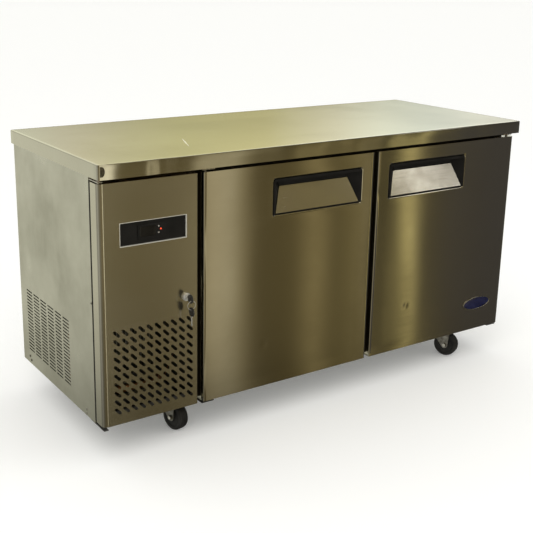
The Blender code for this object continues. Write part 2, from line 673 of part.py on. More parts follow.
def door(name, span, hinge_on_left):
    """An insulated door: steel skin, foam, inner liner, gasket and handle, on an empty at its pins."""
    x0, x1 = span
    inward = 1 if hinge_on_left else -1
    hinge_x = (x0 if hinge_on_left else x1) + inward * DOOR_PIVOT_IN
    handle_x = (x0 + x1) / 2 + inward * HANDLE_SHIFT
    rounds = (FOLD_ROUND, FOLD_ROUND if hinge_on_left else EDGE_ROUND, 0, 0)

    skin = pan(
        name + "_skin", rectangle((x0, x1), (DOOR_FACE, DOOR_BACK), rounds),
        (DOOR_BOTTOM, DOOR_TOP), "Z", SHEET, (0, 1, 0), "stainless",
    )
    window = (handle_x - HANDLE_HALF + 0.0025, handle_x + HANDLE_HALF - 0.0025)
    through = (DOOR_FACE - 0.01, DOOR_FACE + 0.01)
    cut(skin, box(name + "_window", window, through, (HANDLE_Z[0] - GAP, HANDLE_Z[1] - 0.0017)))
    pin_holes(skin, name + "_skin", hinge_x, PIVOT_Y, PIN_HOLE)

    inset = SHEET + GAP
    foam_rounds = [r + 0.001 if r else 0 for r in rounds]
    foam_outline = rectangle(
        (x0 + inset, x1 - inset), (DOOR_FACE + inset, DOOR_BACK - 0.0015), foam_rounds
    )
    foam_z = (DOOR_BOTTOM + inset, DOOR_TOP - inset)
    foam = prism(name + "_foam", [foam_outline], foam_z, "Z", "foam")
    room = (HANDLE_BODY_Z[0] - 0.0005, HANDLE_BODY_Z[1] + 0.0005)
    cut(foam, box(name + "_handle_room", window, (DOOR_FACE - 0.01, HANDLE_BACK + GAP), room))
    pin_holes(foam, name + "_foam", hinge_x, PIVOT_Y, 0.0065)

    liner = box(
        name + "_liner", (x0 + inset, x1 - inset), (DOOR_BACK - 0.0012, DOOR_BACK + 0.0018),
        (DOOR_BOTTOM + inset, DOOR_TOP - inset), "white_plastic",
    )
    # The swelling and the gasket stand further in on the hinge side, to clear the frame as they swing.
    near, far = (0.058, 0.046) if hinge_on_left else (0.046, 0.058)
    raised = rectangle((x0 + near, x1 - far), SWELLING_Z, (0.012,) * 4, 2)
    join(liner, prism(name + "_dyke", [raised], (DOOR_BACK, SWELLING_FACE), "Y"))

    near, far = (0.0165, 0.0065) if hinge_on_left else (0.0065, 0.0165)
    gx = (x0 + near, x1 - far)
    gz = (DOOR_BOTTOM + 0.006, DOOR_TOP - 0.006)
    gasket = box(name + "_gasket", gx, (DOOR_BACK + 0.0021, BODY_FRONT - GAP), gz, "black_rubber")
    open_x = (gx[0] + GASKET_LIP, gx[1] - GASKET_LIP)
    open_z = (gz[0] + GASKET_LIP, gz[1] - GASKET_LIP)
    cut(gasket, box(name + "_gasket_middle", open_x, (-0.25, -0.22), open_z))

    moulding, plate = handle(name, handle_x)
    hang(pivot(name + "_hinge", (hinge_x, PIVOT_Y, 0)), skin, foam, liner, gasket, moulding, plate)
    near, far = (0.014, 0.026) if hinge_on_left else (0.026, 0.014)
    hinge_pair(name, hinge_x, PIVOT_Y, (hinge_x - near, hinge_x + far), PIN, HINGE_UNDER)


def badge():
    """A plain oval plate near the right door's lower outer corner."""
    oval = ellipse(BADGE, BADGE_HALF, 24)
    plate = prism("badge", [oval], (DOOR_FACE - 0.0023, DOOR_FACE - GAP), "Y", "badge_blue")
    hang(bpy.data.objects["right_door_hinge"], plate)


# ---- Machine cover --------------------------------------------------------------------------
def front_slot_outlines():
    """The cover's slots, each lying from upper left to lower right, as (x, z) outlines."""
    length, width = FRONT_SLOT
    straight = (length - width) / 2
    ends = [(straight, width / 2), (length / 2, 0), (straight, -width / 2)]
    shape = ends + [(-u, -v) for u, v in ends]
    c = math.sqrt(0.5)
    found = []
    for column in range(FRONT_SLOTS):
        for row in range(FRONT_SLOTS):
            x = FRONT_SLOT_START[0] + column * FRONT_SLOT_PITCH
            z = FRONT_SLOT_START[1] + row * FRONT_SLOT_PITCH
            found.append([(x + c * (u + v), z + c * (v - u)) for u, v in shape])
    return found


def machine_cover():
    """The hinged cover with its grille, and what it carries."""
    x0, x1 = -BODY_SIDE, COVER_RIGHT
    outline = rectangle((x0, x1), (DOOR_FACE, DOOR_BACK), (EDGE_ROUND, FOLD_ROUND, 0, 0))
    cover = pan("machine_cover", outline, (DOOR_BOTTOM, DOOR_TOP), "Z", SHEET, (0, 1, 0), "stainless")
    near = (DOOR_FACE - 0.01, DOOR_FACE + 0.006)
    cut(cover, prism("front_slots", front_slot_outlines(), near, "Y"))
    cut(cover, box("display_window", DISPLAY_X, near, DISPLAY_Z))
    cut(cover, cylinder("lock_hole", (LOCK[0], DOOR_FACE, LOCK[1]), "Y", 0.0085, 0.02, 16))
    pin_holes(cover, "cover", *COVER_PIVOT, 0.004)

    sheet_back = DOOR_FACE + DISPLAY_RECESS
    fascia = box(
        "control_fascia", (DISPLAY_X[0] - 0.005, DISPLAY_X[1] + 0.005), (sheet_back, sheet_back + 0.002),
        (DISPLAY_Z[0] - 0.005, DISPLAY_Z[1] + 0.005), "black_plastic",
    )
    cx, cz = CONTROLLER

    def around(half):
        """The X and Z spans of a block this far either way of the controller's middle."""
        return (cx - half[0], cx + half[0]), (cz - half[1], cz + half[1])

    hole_x, hole_z = around(CONTROLLER_HOLE)
    cut(fascia, box("controller_hole", hole_x, (sheet_back - 0.01, sheet_back + 0.01), hole_z))
    body_x, body_z = around(CONTROLLER_BODY)
    depth = (sheet_back - 0.001, sheet_back + 0.050)
    controller = box("controller", body_x, depth, body_z, "black_plastic")
    bezel_face = sheet_back - 0.003
    bezel_x, bezel_z = around(CONTROLLER_BEZEL)
    join(controller, box("controller_bezel", bezel_x, (bezel_face, sheet_back - GAP), bezel_z))
    buttons = []
    for name, z in zip(("button_up", "button_down"), BUTTON_Z):
        cut(controller, cylinder(name + "_well", (BUTTON_X, bezel_face, z), "Y", 0.0024, 0.0052, 12))
        buttons.append(cylinder(name, (BUTTON_X, bezel_face, z), "Y", 0.0020, 0.0022, 12, "white_plastic"))

    pin = pivot("cover_hinge", (*COVER_PIVOT, 0))
    hang(pin, cover, fascia, controller, *buttons)
    reach = (-BODY_SIDE + 0.001, -BODY_SIDE + 0.014)
    hinge_pair("cover", *COVER_PIVOT, reach, COVER_PIN, COVER_HINGE_UNDER)
    return pin


# ---- Lock and keys --------------------------------------------------------------------------
def key(name, grip, blade_to, finish="black_plastic"):
    """A key in the lock's YZ plane: an oval grip with a hole, and a blade from it to blade_to."""
    (gy, gz), (by, bz) = grip, blade_to
    hangs = gz != bz
    long, wide = 0.0130, 0.0125
    oval = ellipse(grip, (wide, long) if hangs else (long, wide), 16)
    head = prism(name, [oval], (LOCK[0] - 0.0016, LOCK[0] + 0.0016), "X", finish)
    thin = (LOCK[0] - 0.0005, LOCK[0] + 0.0005)
    if hangs:
        y, z = (by - BLADE_HALF, by + BLADE_HALF), (bz, gz - 0.008)
        eye = (LOCK[0], gy, gz + 0.0070)
    else:
        y, z = (gy + 0.008, by), (bz - BLADE_HALF, bz + BLADE_HALF)
        eye = (LOCK[0], gy - 0.0060, gz - 0.0045)
    join(head, box(name + "_blade", thin, y, z))
    cut(head, cylinder(name + "_eye", eye, "X", 0.0027, 0.01, 12))
    return head, Vector(eye)


def lock(cover_pin):
    """A cam lock with its key in it, and the spare key on a ring."""
    x, z = LOCK
    barrel_profile = [
        (0.0055, -LOCK_FACE), (0.0095, -LOCK_FACE), (0.0112, -LOCK_FACE - 0.0015),
        (0.0112, -DOOR_FACE + GAP), (0.0080, -DOOR_FACE + GAP), (0.0080, 0.2400), (0.0055, 0.2400),
    ]
    # Heights run towards the front here, so the profile's top is the lock's face.
    place = Matrix.Translation((x, 0, z)) @ Matrix.Rotation(math.radians(90), 4, "X")
    barrel = turned("lock_barrel", barrel_profile, place, "zinc", 20, closed=True)

    front, back = LOCK_FACE + 0.0005, CAM_Y[1]
    plug = cylinder("lock_plug", (x, (front + back) / 2, z), "Y", 0.0051, back - front, 16, "zinc")
    cam = box("lock_cam", (x - 0.0065, x + 0.0065), CAM_Y, (z - 0.0065, z + CAM_REACH))
    join(plug, cam)
    cut(plug, box("keyway", (x - 0.0009, x + 0.0009), (-0.31, -0.2680), (z - 0.0034, z + 0.0034)))

    in_lock, eye = key("key", (-0.3065, z), (-0.2700, z))
    ring_radius, wire = 0.0115, 0.0011
    ring_centre = eye + Vector((0, 0, -ring_radius))
    spare_eye = ring_centre + Vector((0, 0, -ring_radius))
    spare, _ = key("spare_key", (spare_eye.y, spare_eye.z - 0.0070), (spare_eye.y, spare_eye.z - 0.046))
    turns, around = 20, 6
    circle = [
        (ring_radius + wire * math.cos(a), wire * math.sin(a))
        for a in [-2 * math.pi * k / around for k in range(around)]
    ]
    place = Matrix.Translation(ring_centre) @ along("Y")
    ring = turned("key_ring", circle, place, "zinc", turns, closed=True)

    hang(cover_pin, barrel)
    plug_pin = pivot("lock_axis", (x, LOCK_FACE, z), parent=None)
    hang(cover_pin, plug_pin)
    hang(plug_pin, plug, in_lock)
    ring_pin = pivot("ring_axis", eye)
    hang(plug_pin, ring_pin)
    hang(ring_pin, ring, spare)


# ---- Castors --------------------------------------------------------------------------------
def castor(name, x, y, degrees):
    """A swivel fork and its wheel. The fork hangs from an empty on the stem, and the wheel from one on
    the axle."""
    stem = pivot(name + "_stem", (x, y, 0), math.radians(degrees))
    axle = pivot(name + "_axle", (0, -CASTOR_TRAIL, WHEEL_RADIUS), parent=stem)

    inner = WHEEL_HALF + 0.002
    outer = inner + 0.0025
    crown = (0.0833, 0.0860)
    low, steps = 0.0115, 6
    bottom = [
        (-CASTOR_TRAIL + low * math.cos(a), WHEEL_RADIUS + low * math.sin(a))
        for a in [math.radians(180 + 130 * k / steps) for k in range(steps + 1)]
    ]
    leg = [(0.019, crown[1]), (-CASTOR_TRAIL - 0.016, crown[1])] + bottom
    fork = prism(name + "_fork", [leg], (-outer, outer), "X", "zinc")
    cut(fork, box(name + "_fork_gap", (-inner, inner), (-0.1, 0.05), (0, crown[0])))
    cup = cylinder(name + "_fork_cup", (0, 0, 0.0873), "Z", 0.0215, 0.0044, 16)
    bolt = cylinder(name + "_fork_bolt", (0, -CASTOR_TRAIL, WHEEL_RADIUS), "X", AXLE, 2 * outer + 0.006, 12)
    heads = []
    for side in (-1, 1):
        centre = (side * (outer + 0.0020), -CASTOR_TRAIL, WHEEL_RADIUS)
        heads.append(cylinder(f"{name}_fork_head_{side}", centre, "X", 0.0075, 0.0055, 6))
    join(fork, cup, bolt, *heads)

    r, w = WHEEL_RADIUS, WHEEL_HALF
    half_tyre = [
        (AXLE + GAP, w), (0.013, w), (0.015, w - 0.003), (0.029, w - 0.003), (0.031, w),
        (r - 0.003, w), (r, w - 0.004),
    ]
    tyre = half_tyre + [(radius, -height) for radius, height in reversed(half_tyre)]
    wheel = turned(name + "_wheel", tyre, along("X"), "black_rubber", 24, closed=True)
    for obj in (fork, *[m.object for m in fork.modifiers]):
        obj.parent = stem
    wheel.parent = axle


def main():
    worktop()
    casing()
    cable_gland()
    cold_cabinet()
    for shelf in SHELVES:
        wire_shelf(*shelf)
    evaporator()
    machine_compartment()
    door("left_door", LEFT_DOOR, True)
    door("right_door", RIGHT_DOOR, False)
    badge()
    lock(machine_cover())
    for each in CASTORS:
        castor(*each)


main()
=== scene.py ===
"""Undercounter refrigerator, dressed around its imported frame, in the order that it is put together."""

import json
import math

import bmesh
import bpy
import numpy as np
from mathutils import Matrix, Vector


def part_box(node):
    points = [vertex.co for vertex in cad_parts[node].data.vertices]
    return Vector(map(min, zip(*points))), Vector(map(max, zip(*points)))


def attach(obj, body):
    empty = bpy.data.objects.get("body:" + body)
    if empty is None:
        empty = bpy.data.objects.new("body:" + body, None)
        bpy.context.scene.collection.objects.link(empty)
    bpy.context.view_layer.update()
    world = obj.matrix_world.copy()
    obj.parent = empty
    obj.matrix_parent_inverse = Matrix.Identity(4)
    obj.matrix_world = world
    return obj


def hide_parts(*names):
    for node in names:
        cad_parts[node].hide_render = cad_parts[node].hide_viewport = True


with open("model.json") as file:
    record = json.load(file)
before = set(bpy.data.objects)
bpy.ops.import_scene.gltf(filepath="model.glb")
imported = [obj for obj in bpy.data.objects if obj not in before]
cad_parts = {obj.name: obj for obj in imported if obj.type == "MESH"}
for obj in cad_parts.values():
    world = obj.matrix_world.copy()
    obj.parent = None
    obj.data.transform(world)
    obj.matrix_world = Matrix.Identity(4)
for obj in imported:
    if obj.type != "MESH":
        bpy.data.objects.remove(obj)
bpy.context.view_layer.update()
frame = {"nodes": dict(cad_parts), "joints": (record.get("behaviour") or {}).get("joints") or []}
scene = bpy.context.scene
nodes = frame["nodes"]


# ---- The studio -----------------------------------------------------------------------------
# A pale floor without a horizon, a soft sky, and the eye level of someone standing at the
# refrigerator's left front corner. None of this is part of the object.
EYE = Vector((-1.66780, -2.31832, 1.25691))
EYE_FORWARD = Vector((0.54031, 0.79946, -0.26256)).normalized()
EYE_RIGHT = Vector((0.83088, -0.55622, 0.01622))
FOCAL_LENGTH = 62.88
FRAME_SHIFT = (0.02854, -0.07282)


def look(eye, forward, right):
    """A matrix whose columns are the right, up and backward directions and the place of the eye."""
    up = right.cross(forward).normalized()
    right = forward.cross(up).normalized()
    turned = Matrix((right, up, -forward)).transposed().to_4x4()
    turned.translation = eye
    return turned


camera = bpy.data.objects.new("studio_camera", bpy.data.cameras.new("studio_camera"))
camera.matrix_world = look(EYE, EYE_FORWARD, EYE_RIGHT)
camera.data.sensor_width = 36.0
camera.data.lens = FOCAL_LENGTH
camera.data.shift_x, camera.data.shift_y = FRAME_SHIFT
scene.collection.objects.link(camera)
scene.camera = camera
scene.view_settings.view_transform = "Standard"


def tree_of(owner):
    """The emptied node tree of a material or of the world, with a short way to add nodes and wire them."""
    owner.use_nodes = True
    tree = owner.node_tree
    tree.nodes.clear()

    def add(kind, inputs=None, **settings):
        node = tree.nodes.new(kind)
        for name, value in settings.items():
            setattr(node, name, value)
        for name, value in (inputs or {}).items():
            if isinstance(value, bpy.types.NodeSocket):
                tree.links.new(value, node.inputs[name])
            else:
                node.inputs[name].default_value = value
        return node

    return tree, add


def ramp_of(node, stops):
    """Fills a colour ramp from (position, colour) pairs, in order."""
    elements = node.color_ramp.elements
    elements[0].position, elements[0].color = stops[0][0], (*stops[0][1], 1)
    elements[1].position, elements[1].color = stops[-1][0], (*stops[-1][1], 1)
    for place, colour in stops[1:-1]:
        elements.new(place).color = (*colour, 1)


floor_mesh = bpy.data.meshes.new("studio_floor")
floor_mesh.from_pydata([(-60, -60, 0), (60, -60, 0), (60, 60, 0), (-60, 60, 0)], [], [(0, 1, 2, 3)])
floor = bpy.data.objects.new("studio_floor", floor_mesh)
floor.visible_glossy = False
scene.collection.objects.link(floor)
floor_paint = bpy.data.materials.new("pale_floor")
tree, add = tree_of(floor_paint)
shade = add("ShaderNodeBsdfPrincipled", {"Base Color": (0.93, 0.93, 0.92, 1), "Roughness": 0.9})
shade.inputs["Emission Color"].default_value = (1, 1, 1, 1)
shade.inputs["Emission Strength"].default_value = 0.12
add("ShaderNodeOutputMaterial", {"Surface": shade.outputs[0]})
floor_mesh.materials.append(floor_paint)

# What polished steel sees around it, by the compass angle from the front towards the right, in degrees:
# tall soft cards and the darker gaps between them. The front's are narrow, so they have a ramp of their own.
ROOM = (
    (-180, 0.80, 0.80, 0.64), (-160, 0.76, 0.75, 0.61), (-150, 0.66, 0.66, 0.55), (-120, 0.34, 0.33, 0.29),
    (-95, 0.55, 0.54, 0.48), (-60, 0.24, 0.22, 0.16), (-25, 0.24, 0.20, 0.12), (6, 0.26, 0.21, 0.11),
    (10, 0.95, 0.88, 0.64), (18, 1.05, 0.98, 0.74), (58, 0.080, 0.076, 0.068), (88, 0.08, 0.076, 0.07),
    (108, 0.22, 0.21, 0.19), (122, 0.90, 0.90, 0.84), (131.5, 1.56, 1.56, 1.37), (134.5, 1.22, 1.28, 1.13),
    (138, 1.29, 1.31, 1.06), (140.5, 1.10, 1.05, 0.77), (145, 0.82, 0.76, 0.39), (150.5, 0.73, 0.69, 0.37),
    (154, 0.74, 0.70, 0.44), (157, 0.79, 0.74, 0.55), (160, 0.88, 0.88, 0.68), (180, 0.80, 0.80, 0.64),
)
FRONT_FROM, FRONT_TO = 18.0, 58.0
FRONT_CARDS = (
    (18, 1.15, 1.07, 0.82), (20.8, 1.10, 1.02, 0.76), (21.9, 0.165, 0.132, 0.062),
    (30.4, 0.160, 0.128, 0.062), (31.1, 0.55, 0.475, 0.30), (32.7, 0.53, 0.47, 0.31),
    (33.6, 0.30, 0.25, 0.135), (34.4, 0.115, 0.091, 0.041), (36.9, 0.130, 0.103, 0.045),
    (38.2, 0.34, 0.275, 0.130), (39.3, 0.125, 0.100, 0.044), (40.6, 0.22, 0.178, 0.078),
    (41.3, 0.30, 0.25, 0.135), (41.8, 0.07, 0.058, 0.027), (43.2, 0.080, 0.066, 0.032),
    (43.6, 0.80, 0.68, 0.29), (44.0, 0.72, 0.61, 0.27), (44.5, 0.16, 0.135, 0.07),
    (45.2, 0.090, 0.076, 0.044), (46.6, 0.085, 0.076, 0.060), (49.0, 0.072, 0.066, 0.060),
    (58, 0.080, 0.076, 0.068),
)
# How much of it there is by height, from straight down to straight up.
BY_HEIGHT = (
    (0.0, 0.25), (0.25, 0.25), (0.28, 0.34), (0.29, 0.46), (0.302, 0.80), (0.335, 0.95), (0.39, 1.0),
    (0.46, 1.0), (0.50, 0.50), (0.5635, 0.30), (0.569, 0.385), (0.573, 0.54), (0.5773, 0.68), (0.5885, 1.0),
    (0.5967, 1.18), (0.62, 1.2), (0.70, 1.2), (1.0, 1.5),
)

world = bpy.data.worlds.new("studio_sky")
scene.world = world
world.cycles.sampling_method = "NONE"
tree, add = tree_of(world)
axes = add("ShaderNodeSeparateXYZ", {0: add("ShaderNodeTexCoord").outputs["Generated"]})
front = add("ShaderNodeMath", {0: axes.outputs["Y"], 1: -1.0}, operation="MULTIPLY")
compass = add("ShaderNodeMath", {0: axes.outputs["X"], 1: front.outputs[0]}, operation="ARCTAN2")
angle = add("ShaderNodeMath", {0: compass.outputs[0]}, operation="DEGREES")


def cards_between(stops, begin, end):
    """A ramp over the compass angles from begin to end."""
    share = add("ShaderNodeMapRange", {"Value": angle.outputs[0], "From Min": begin, "From Max": end})
    ramp = add("ShaderNodeValToRGB", {"Fac": share.outputs[0]})
    ramp_of(ramp, [((at - begin) / (end - begin), colour) for at, *colour in stops])
    return ramp.outputs[0]


middle, half = (FRONT_FROM + FRONT_TO) / 2, (FRONT_TO - FRONT_FROM) / 2
ahead = add("ShaderNodeMath", {0: angle.outputs[0], 1: middle, 2: half}, operation="COMPARE")
cards = add("ShaderNodeMix", {"Factor": ahead.outputs[0]}, data_type="RGBA")
tree.links.new(cards_between(ROOM, -180.0, 180.0), cards.inputs[6])
tree.links.new(cards_between(FRONT_CARDS, FRONT_FROM, FRONT_TO), cards.inputs[7])
rise = add("ShaderNodeMapRange", {"Value": axes.outputs["Z"], "From Min": -1.0, "From Max": 1.0})
by_height = add("ShaderNodeValToRGB", {"Fac": rise.outputs[0]})
ramp_of(by_height, [(place, (share / 2,) * 3) for place, share in BY_HEIGHT])
lit = add("ShaderNodeMix", {"Factor": 1.0}, data_type="RGBA", blend_type="MULTIPLY")
tree.links.new(cards.outputs[2], lit.inputs[6])
tree.links.new(by_height.outputs[0], lit.inputs[7])
mirrored = add("ShaderNodeBackground", {"Color": lit.outputs[2], "Strength": 2.0})
plain = add("ShaderNodeBackground", {"Color": (1.0, 1.0, 0.985, 1), "Strength": 0.95})
ray = add("ShaderNodeLightPath")
skies = {0: ray.outputs["Is Glossy Ray"], 1: plain.outputs[0], 2: mirrored.outputs[0]}
both = add("ShaderNodeMixShader", skies)
add("ShaderNodeOutputWorld", {"Surface": both.outputs[0]})


def soft_light(name, place, aim, size, power, colour, mirrored_too):
    """A rectangular soft light at place that faces aim."""
    lamp = bpy.data.lights.new(name, "AREA")
    lamp.shape, lamp.size, lamp.size_y = "RECTANGLE", *size
    lamp.energy, lamp.color = power, colour
    holder = bpy.data.objects.new(name, lamp)
    direction = Vector(aim) - Vector(place)
    holder.matrix_world = Matrix.Translation(place) @ direction.to_track_quat("-Z", "Y").to_matrix().to_4x4()
    holder.visible_glossy = mirrored_too
    scene.collection.objects.link(holder)
    return holder


soft_light("key_light", (-2.6, -2.4, 3.2), (0, 0, 0.4), (2.4, 2.4), 38, (1.0, 0.97, 0.90), False)
soft_light("fill_light", (2.8, -2.6, 2.2), (0.2, 0, 0.4), (2.0, 2.0), 14, (1.0, 0.99, 0.96), False)
soft_light("handle_card", (2.57, -2.42, 1.52), (0.36, -0.27, 0.65), (0.42, 0.8), 1.5, (1.0, 0.98, 0.93), True)


# ---- The worktop ----------------------------------------------------------------------------
# One sheet of 1.2 mm stainless folded down on all four sides over a chipboard, corners welded and
# ground round. It is brushed lengthwise, dulled in soft patches, and never quite flat.
WORKTOP_SHEET = 0.0012
WORKTOP_CORNERS = (0.006, 0.006, 0.003, 0.003)
WORKTOP_FOLD = 0.0028
WORKTOP_SAG = 0.0005
BEND_DEPTH, BEND_BEGINS, BEND_LENGTH = 0.0030, -0.678, 0.067
KNOCK_DEPTH, KNOCK_X, KNOCK_WIDTH = 0.0024, -0.576, 0.026


def rings_mesh(name, rings, joined=False):
    """Closed rings of points, each joined to the next by a band of quads. The end rings are filled,
    or the last is joined to the first. Coinciding points are merged and the faces turned outwards."""
    rows, columns = rings.shape[:2]
    index = np.arange(rows * columns).reshape(rows, columns)
    above = np.roll(index, -1, axis=0)
    if not joined:
        index, above = index[:-1], above[:-1]
    bands = [index, np.roll(index, -1, axis=1), np.roll(above, -1, axis=1), above]
    faces = np.stack(bands, -1).reshape(-1, 4).tolist()
    if not joined:
        faces += [index[0][::-1].tolist(), above[-1].tolist()]
    mesh = bpy.data.meshes.new(name)
    mesh.from_pydata(rings.reshape(-1, 3).tolist(), [], faces)
    mesh.validate()
    shape = bmesh.new()
    shape.from_mesh(mesh)
    bmesh.ops.remove_doubles(shape, verts=shape.verts, dist=1e-7)
    bmesh.ops.recalc_face_normals(shape, faces=shape.faces)
    shape.to_mesh(mesh)
    shape.free()
    return mesh


def outline(x, y, radii, steps, bend=6, inset=0.0):
    """Points round the rectangle x by y drawn in by inset, counterclockwise from its low left corner: a
    quarter circle of bend steps at each corner, with evenly spaced points between, steps[0] on the sides
    along X and steps[1] on the others."""
    (left, right), (near, far) = (x[0] + inset, x[1] - inset), (y[0] + inset, y[1] - inset)
    corners = np.array([[left, near], [right, near], [right, far], [left, far]])
    inward = np.array([[1, 1], [-1, 1], [-1, -1], [1, -1]])
    turn = np.linspace(0, np.pi / 2, bend + 1) + np.pi + np.arange(4)[:, None] * np.pi / 2
    radii = np.asarray(radii, float)[:, None, None]
    arcs = corners[:, None] + radii * inward[:, None] + radii * np.stack([np.cos(turn), np.sin(turn)], -1)
    run = []
    for side in range(4):
        share = np.linspace(0, 1, steps[side % 2] + 2)[1:-1, None]
        begin, end = arcs[side][-1], arcs[(side + 1) % 4][0]
        run += [arcs[side], begin + (end - begin) * share]
    return np.concatenate(run)


def level(flat, heights):
    """Level rings: a flat outline at each of the heights."""
    return np.array([np.column_stack([flat, np.full(len(flat), height)]) for height in heights])


def lay_grain(mesh, u, v):
    """A UV map that is two weighted sums of a point's coordinates: U runs across the brushing."""
    corners = np.empty(len(mesh.loops), np.int32)
    mesh.loops.foreach_get("vertex_index", corners)
    points = np.empty(len(mesh.vertices) * 3, np.float32)
    mesh.vertices.foreach_get("co", points)
    at = points.reshape(-1, 3)[corners]
    layer = mesh.uv_layers.new(name="grain")
    uv = np.stack([at @ np.array(u), at @ np.array(v)], -1)
    layer.data.foreach_set("uv", uv.astype(np.float32).ravel())
    return mesh


def mount(name, mesh, body, finish, replaced=(), sharp=40.0):
    """Makes a piece of a finished mesh: smooth but for its sharp edges, in its finish, on its body."""
    mesh.name = name
    mesh.materials.clear()
    mesh.materials.append(finish)
    mesh.shade_smooth()
    mesh.set_sharp_from_angle(angle=math.radians(sharp))
    piece = bpy.data.objects.new(name, mesh)
    scene.collection.objects.link(piece)
    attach(piece, body)
    if replaced:
        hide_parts(*replaced)
    return piece


def formed(name, shapes, body, finish, replaced=(), sharp=40.0, joined=False):
    """Makes a piece of one or more ringed shapes."""
    whole = bmesh.new()
    for rings in shapes:
        one = rings_mesh(name, rings, joined)
        whole.from_mesh(one)
        bpy.data.meshes.remove(one)
    mesh = bpy.data.meshes.new(name)
    whole.to_mesh(mesh)
    whole.free()
    return mount(name, mesh, body, finish, replaced, sharp)


def finish_of(name, colour, worn, rough, metallic=0.0, patch=4.0, grain=(60, 60, 60), depth=0.0001, wave=0.0,
              anisotropy=0.0, coat=0.0, specks=0.0, glint=0.5):
    """A surface made of a colour that drifts to a worn one in soft patches, a roughness that follows the
    same patches between two values, fine grain stretched along an axis, and a slow waviness. Specks is
    how many dusty dots there are to a metre, and glint how strongly paint or rubber mirrors."""
    material = bpy.data.materials.new(name)
    tree, add = tree_of(material)
    place = add("ShaderNodeTexCoord").outputs["Object"]
    patches = add("ShaderNodeTexNoise", {"Vector": place, "Scale": patch, "Detail": 5.0, "Roughness": 0.62})
    spread = add("ShaderNodeMapRange", {"Value": patches.outputs["Fac"], "From Min": 0.34, "From Max": 0.68})
    shade = add("ShaderNodeMix", data_type="RGBA")
    tree.links.new(spread.outputs[0], shade.inputs["Factor"])
    shade.inputs[6].default_value, shade.inputs[7].default_value = (*colour, 1), (*worn, 1)
    top_colour = shade.outputs[2]
    if specks:
        dots = add("ShaderNodeTexVoronoi", {"Vector": place, "Scale": specks})
        spot = add("ShaderNodeMapRange", {"Value": dots.outputs["Distance"], "From Min": 0.05,
                                          "From Max": 0.16, "To Min": 0.55, "To Max": 0.0})
        dusty = add("ShaderNodeMix", data_type="RGBA")
        tree.links.new(spot.outputs[0], dusty.inputs["Factor"])
        tree.links.new(top_colour, dusty.inputs[6])
        dusty.inputs[7].default_value = (*worn, 1)
        top_colour = dusty.outputs[2]
    turned = add("ShaderNodeMapping", {"Vector": place, "Scale": grain})
    lines = add("ShaderNodeTexNoise", {"Vector": turned.outputs[0], "Scale": 1.0, "Detail": 3.0})
    rub = add("ShaderNodeMath", {0: spread.outputs[0], 1: lines.outputs["Fac"]}, operation="MULTIPLY")
    gloss = add("ShaderNodeMapRange", {"Value": rub.outputs[0], "From Min": 0.0, "From Max": 0.6,
                                       "To Min": rough[0], "To Max": rough[1]})
    bump = add("ShaderNodeBump", {"Height": lines.outputs["Fac"], "Distance": depth, "Strength": 1.0})
    if wave:
        swell = add("ShaderNodeTexNoise", {"Vector": place, "Scale": 2.6, "Detail": 1.0})
        slow = add("ShaderNodeBump", {"Height": swell.outputs["Fac"], "Distance": wave, "Strength": 1.0})
        tree.links.new(slow.outputs[0], bump.inputs["Normal"])
    surface = add("ShaderNodeBsdfPrincipled", {
        "Base Color": top_colour, "Roughness": gloss.outputs[0], "Normal": bump.outputs[0],
        "Metallic": metallic, "Anisotropic": anisotropy, "Coat Weight": coat, "Coat Roughness": 0.12,
        "Specular IOR Level": glint,
    })
    if anisotropy:
        across = add("ShaderNodeTangent", direction_type="UV_MAP", uv_map="grain")
        tree.links.new(across.outputs[0], surface.inputs["Tangent"])
    add("ShaderNodeOutputMaterial", {"Surface": surface.outputs[0]})
    return material


top_steel = finish_of("worktop_steel", (0.60, 0.585, 0.51), (0.56, 0.54, 0.46), (0.10, 0.16), 1.0,
                      patch=3.2, grain=(5, 420, 420), depth=0.000005, wave=0.0005, anisotropy=0.85)
low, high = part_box("worktop")


def bent_back(x):
    """How far the front fold is pushed back near its left corner: a power curve of the way into the bend."""
    return BEND_DEPTH * np.clip((BEND_BEGINS - x) / BEND_LENGTH, 0, 1) ** 1.3


def worktop_rings(outside, bottom, top):
    """Rings from the hem inside, down round the edge and in over the top: each is the outline drawn in by
    an inset at a height. The top sinks between its edges in two slow cosine swells. The front fold ripples
    in two cosines, with one Gaussian knock, and bends back at its left corner."""
    turn = np.linspace(0, np.pi / 2, 6)
    edge = [(WORKTOP_SHEET, top - WORKTOP_SHEET), (WORKTOP_SHEET, bottom)]
    edge += [(0.0, bottom), (0.0, (bottom + top) / 2)]
    edge += [(WORKTOP_FOLD * (1 - np.cos(a)), top - WORKTOP_FOLD * (1 - np.sin(a))) for a in turn]
    edge += [(inset, top) for inset in np.linspace(0.008, outside[1][1] - 0.004, 26)]
    rings = []
    for inset, height in edge:
        radii = [max(r - inset, 0.0004) for r in WORKTOP_CORNERS]
        rings.append(level(outline(*outside, radii, (64, 22), inset=inset), [height]))
    rings = np.concatenate(rings)
    x, y, z = np.moveaxis(rings, -1, 0)
    into = np.clip((0.29 - np.abs(y)) / 0.12, 0, 1) * np.clip((0.74 - np.abs(x)) / 0.12, 0, 1)
    swell = 0.5 + 0.25 * np.cos(9.1 * x + 2.0 * y) + 0.25 * np.cos(3.7 * x - 7.3 * y + 1.0)
    rings[..., 2] = z - np.where(z > top - 1e-6, WORKTOP_SAG * into * swell, 0)
    on_front = np.clip((-0.28 - y) / 0.015, 0, 1)
    ripple = 0.00022 * (1 + np.cos(21 * x + 0.6)) + 0.00012 * (1 + np.cos(47 * x + 1.2 * np.sin(9 * x)))
    ripple += KNOCK_DEPTH * np.exp(-((x - KNOCK_X) / KNOCK_WIDTH) ** 2)
    rings[..., 1] = y + on_front * (ripple + bent_back(x))
    return rings


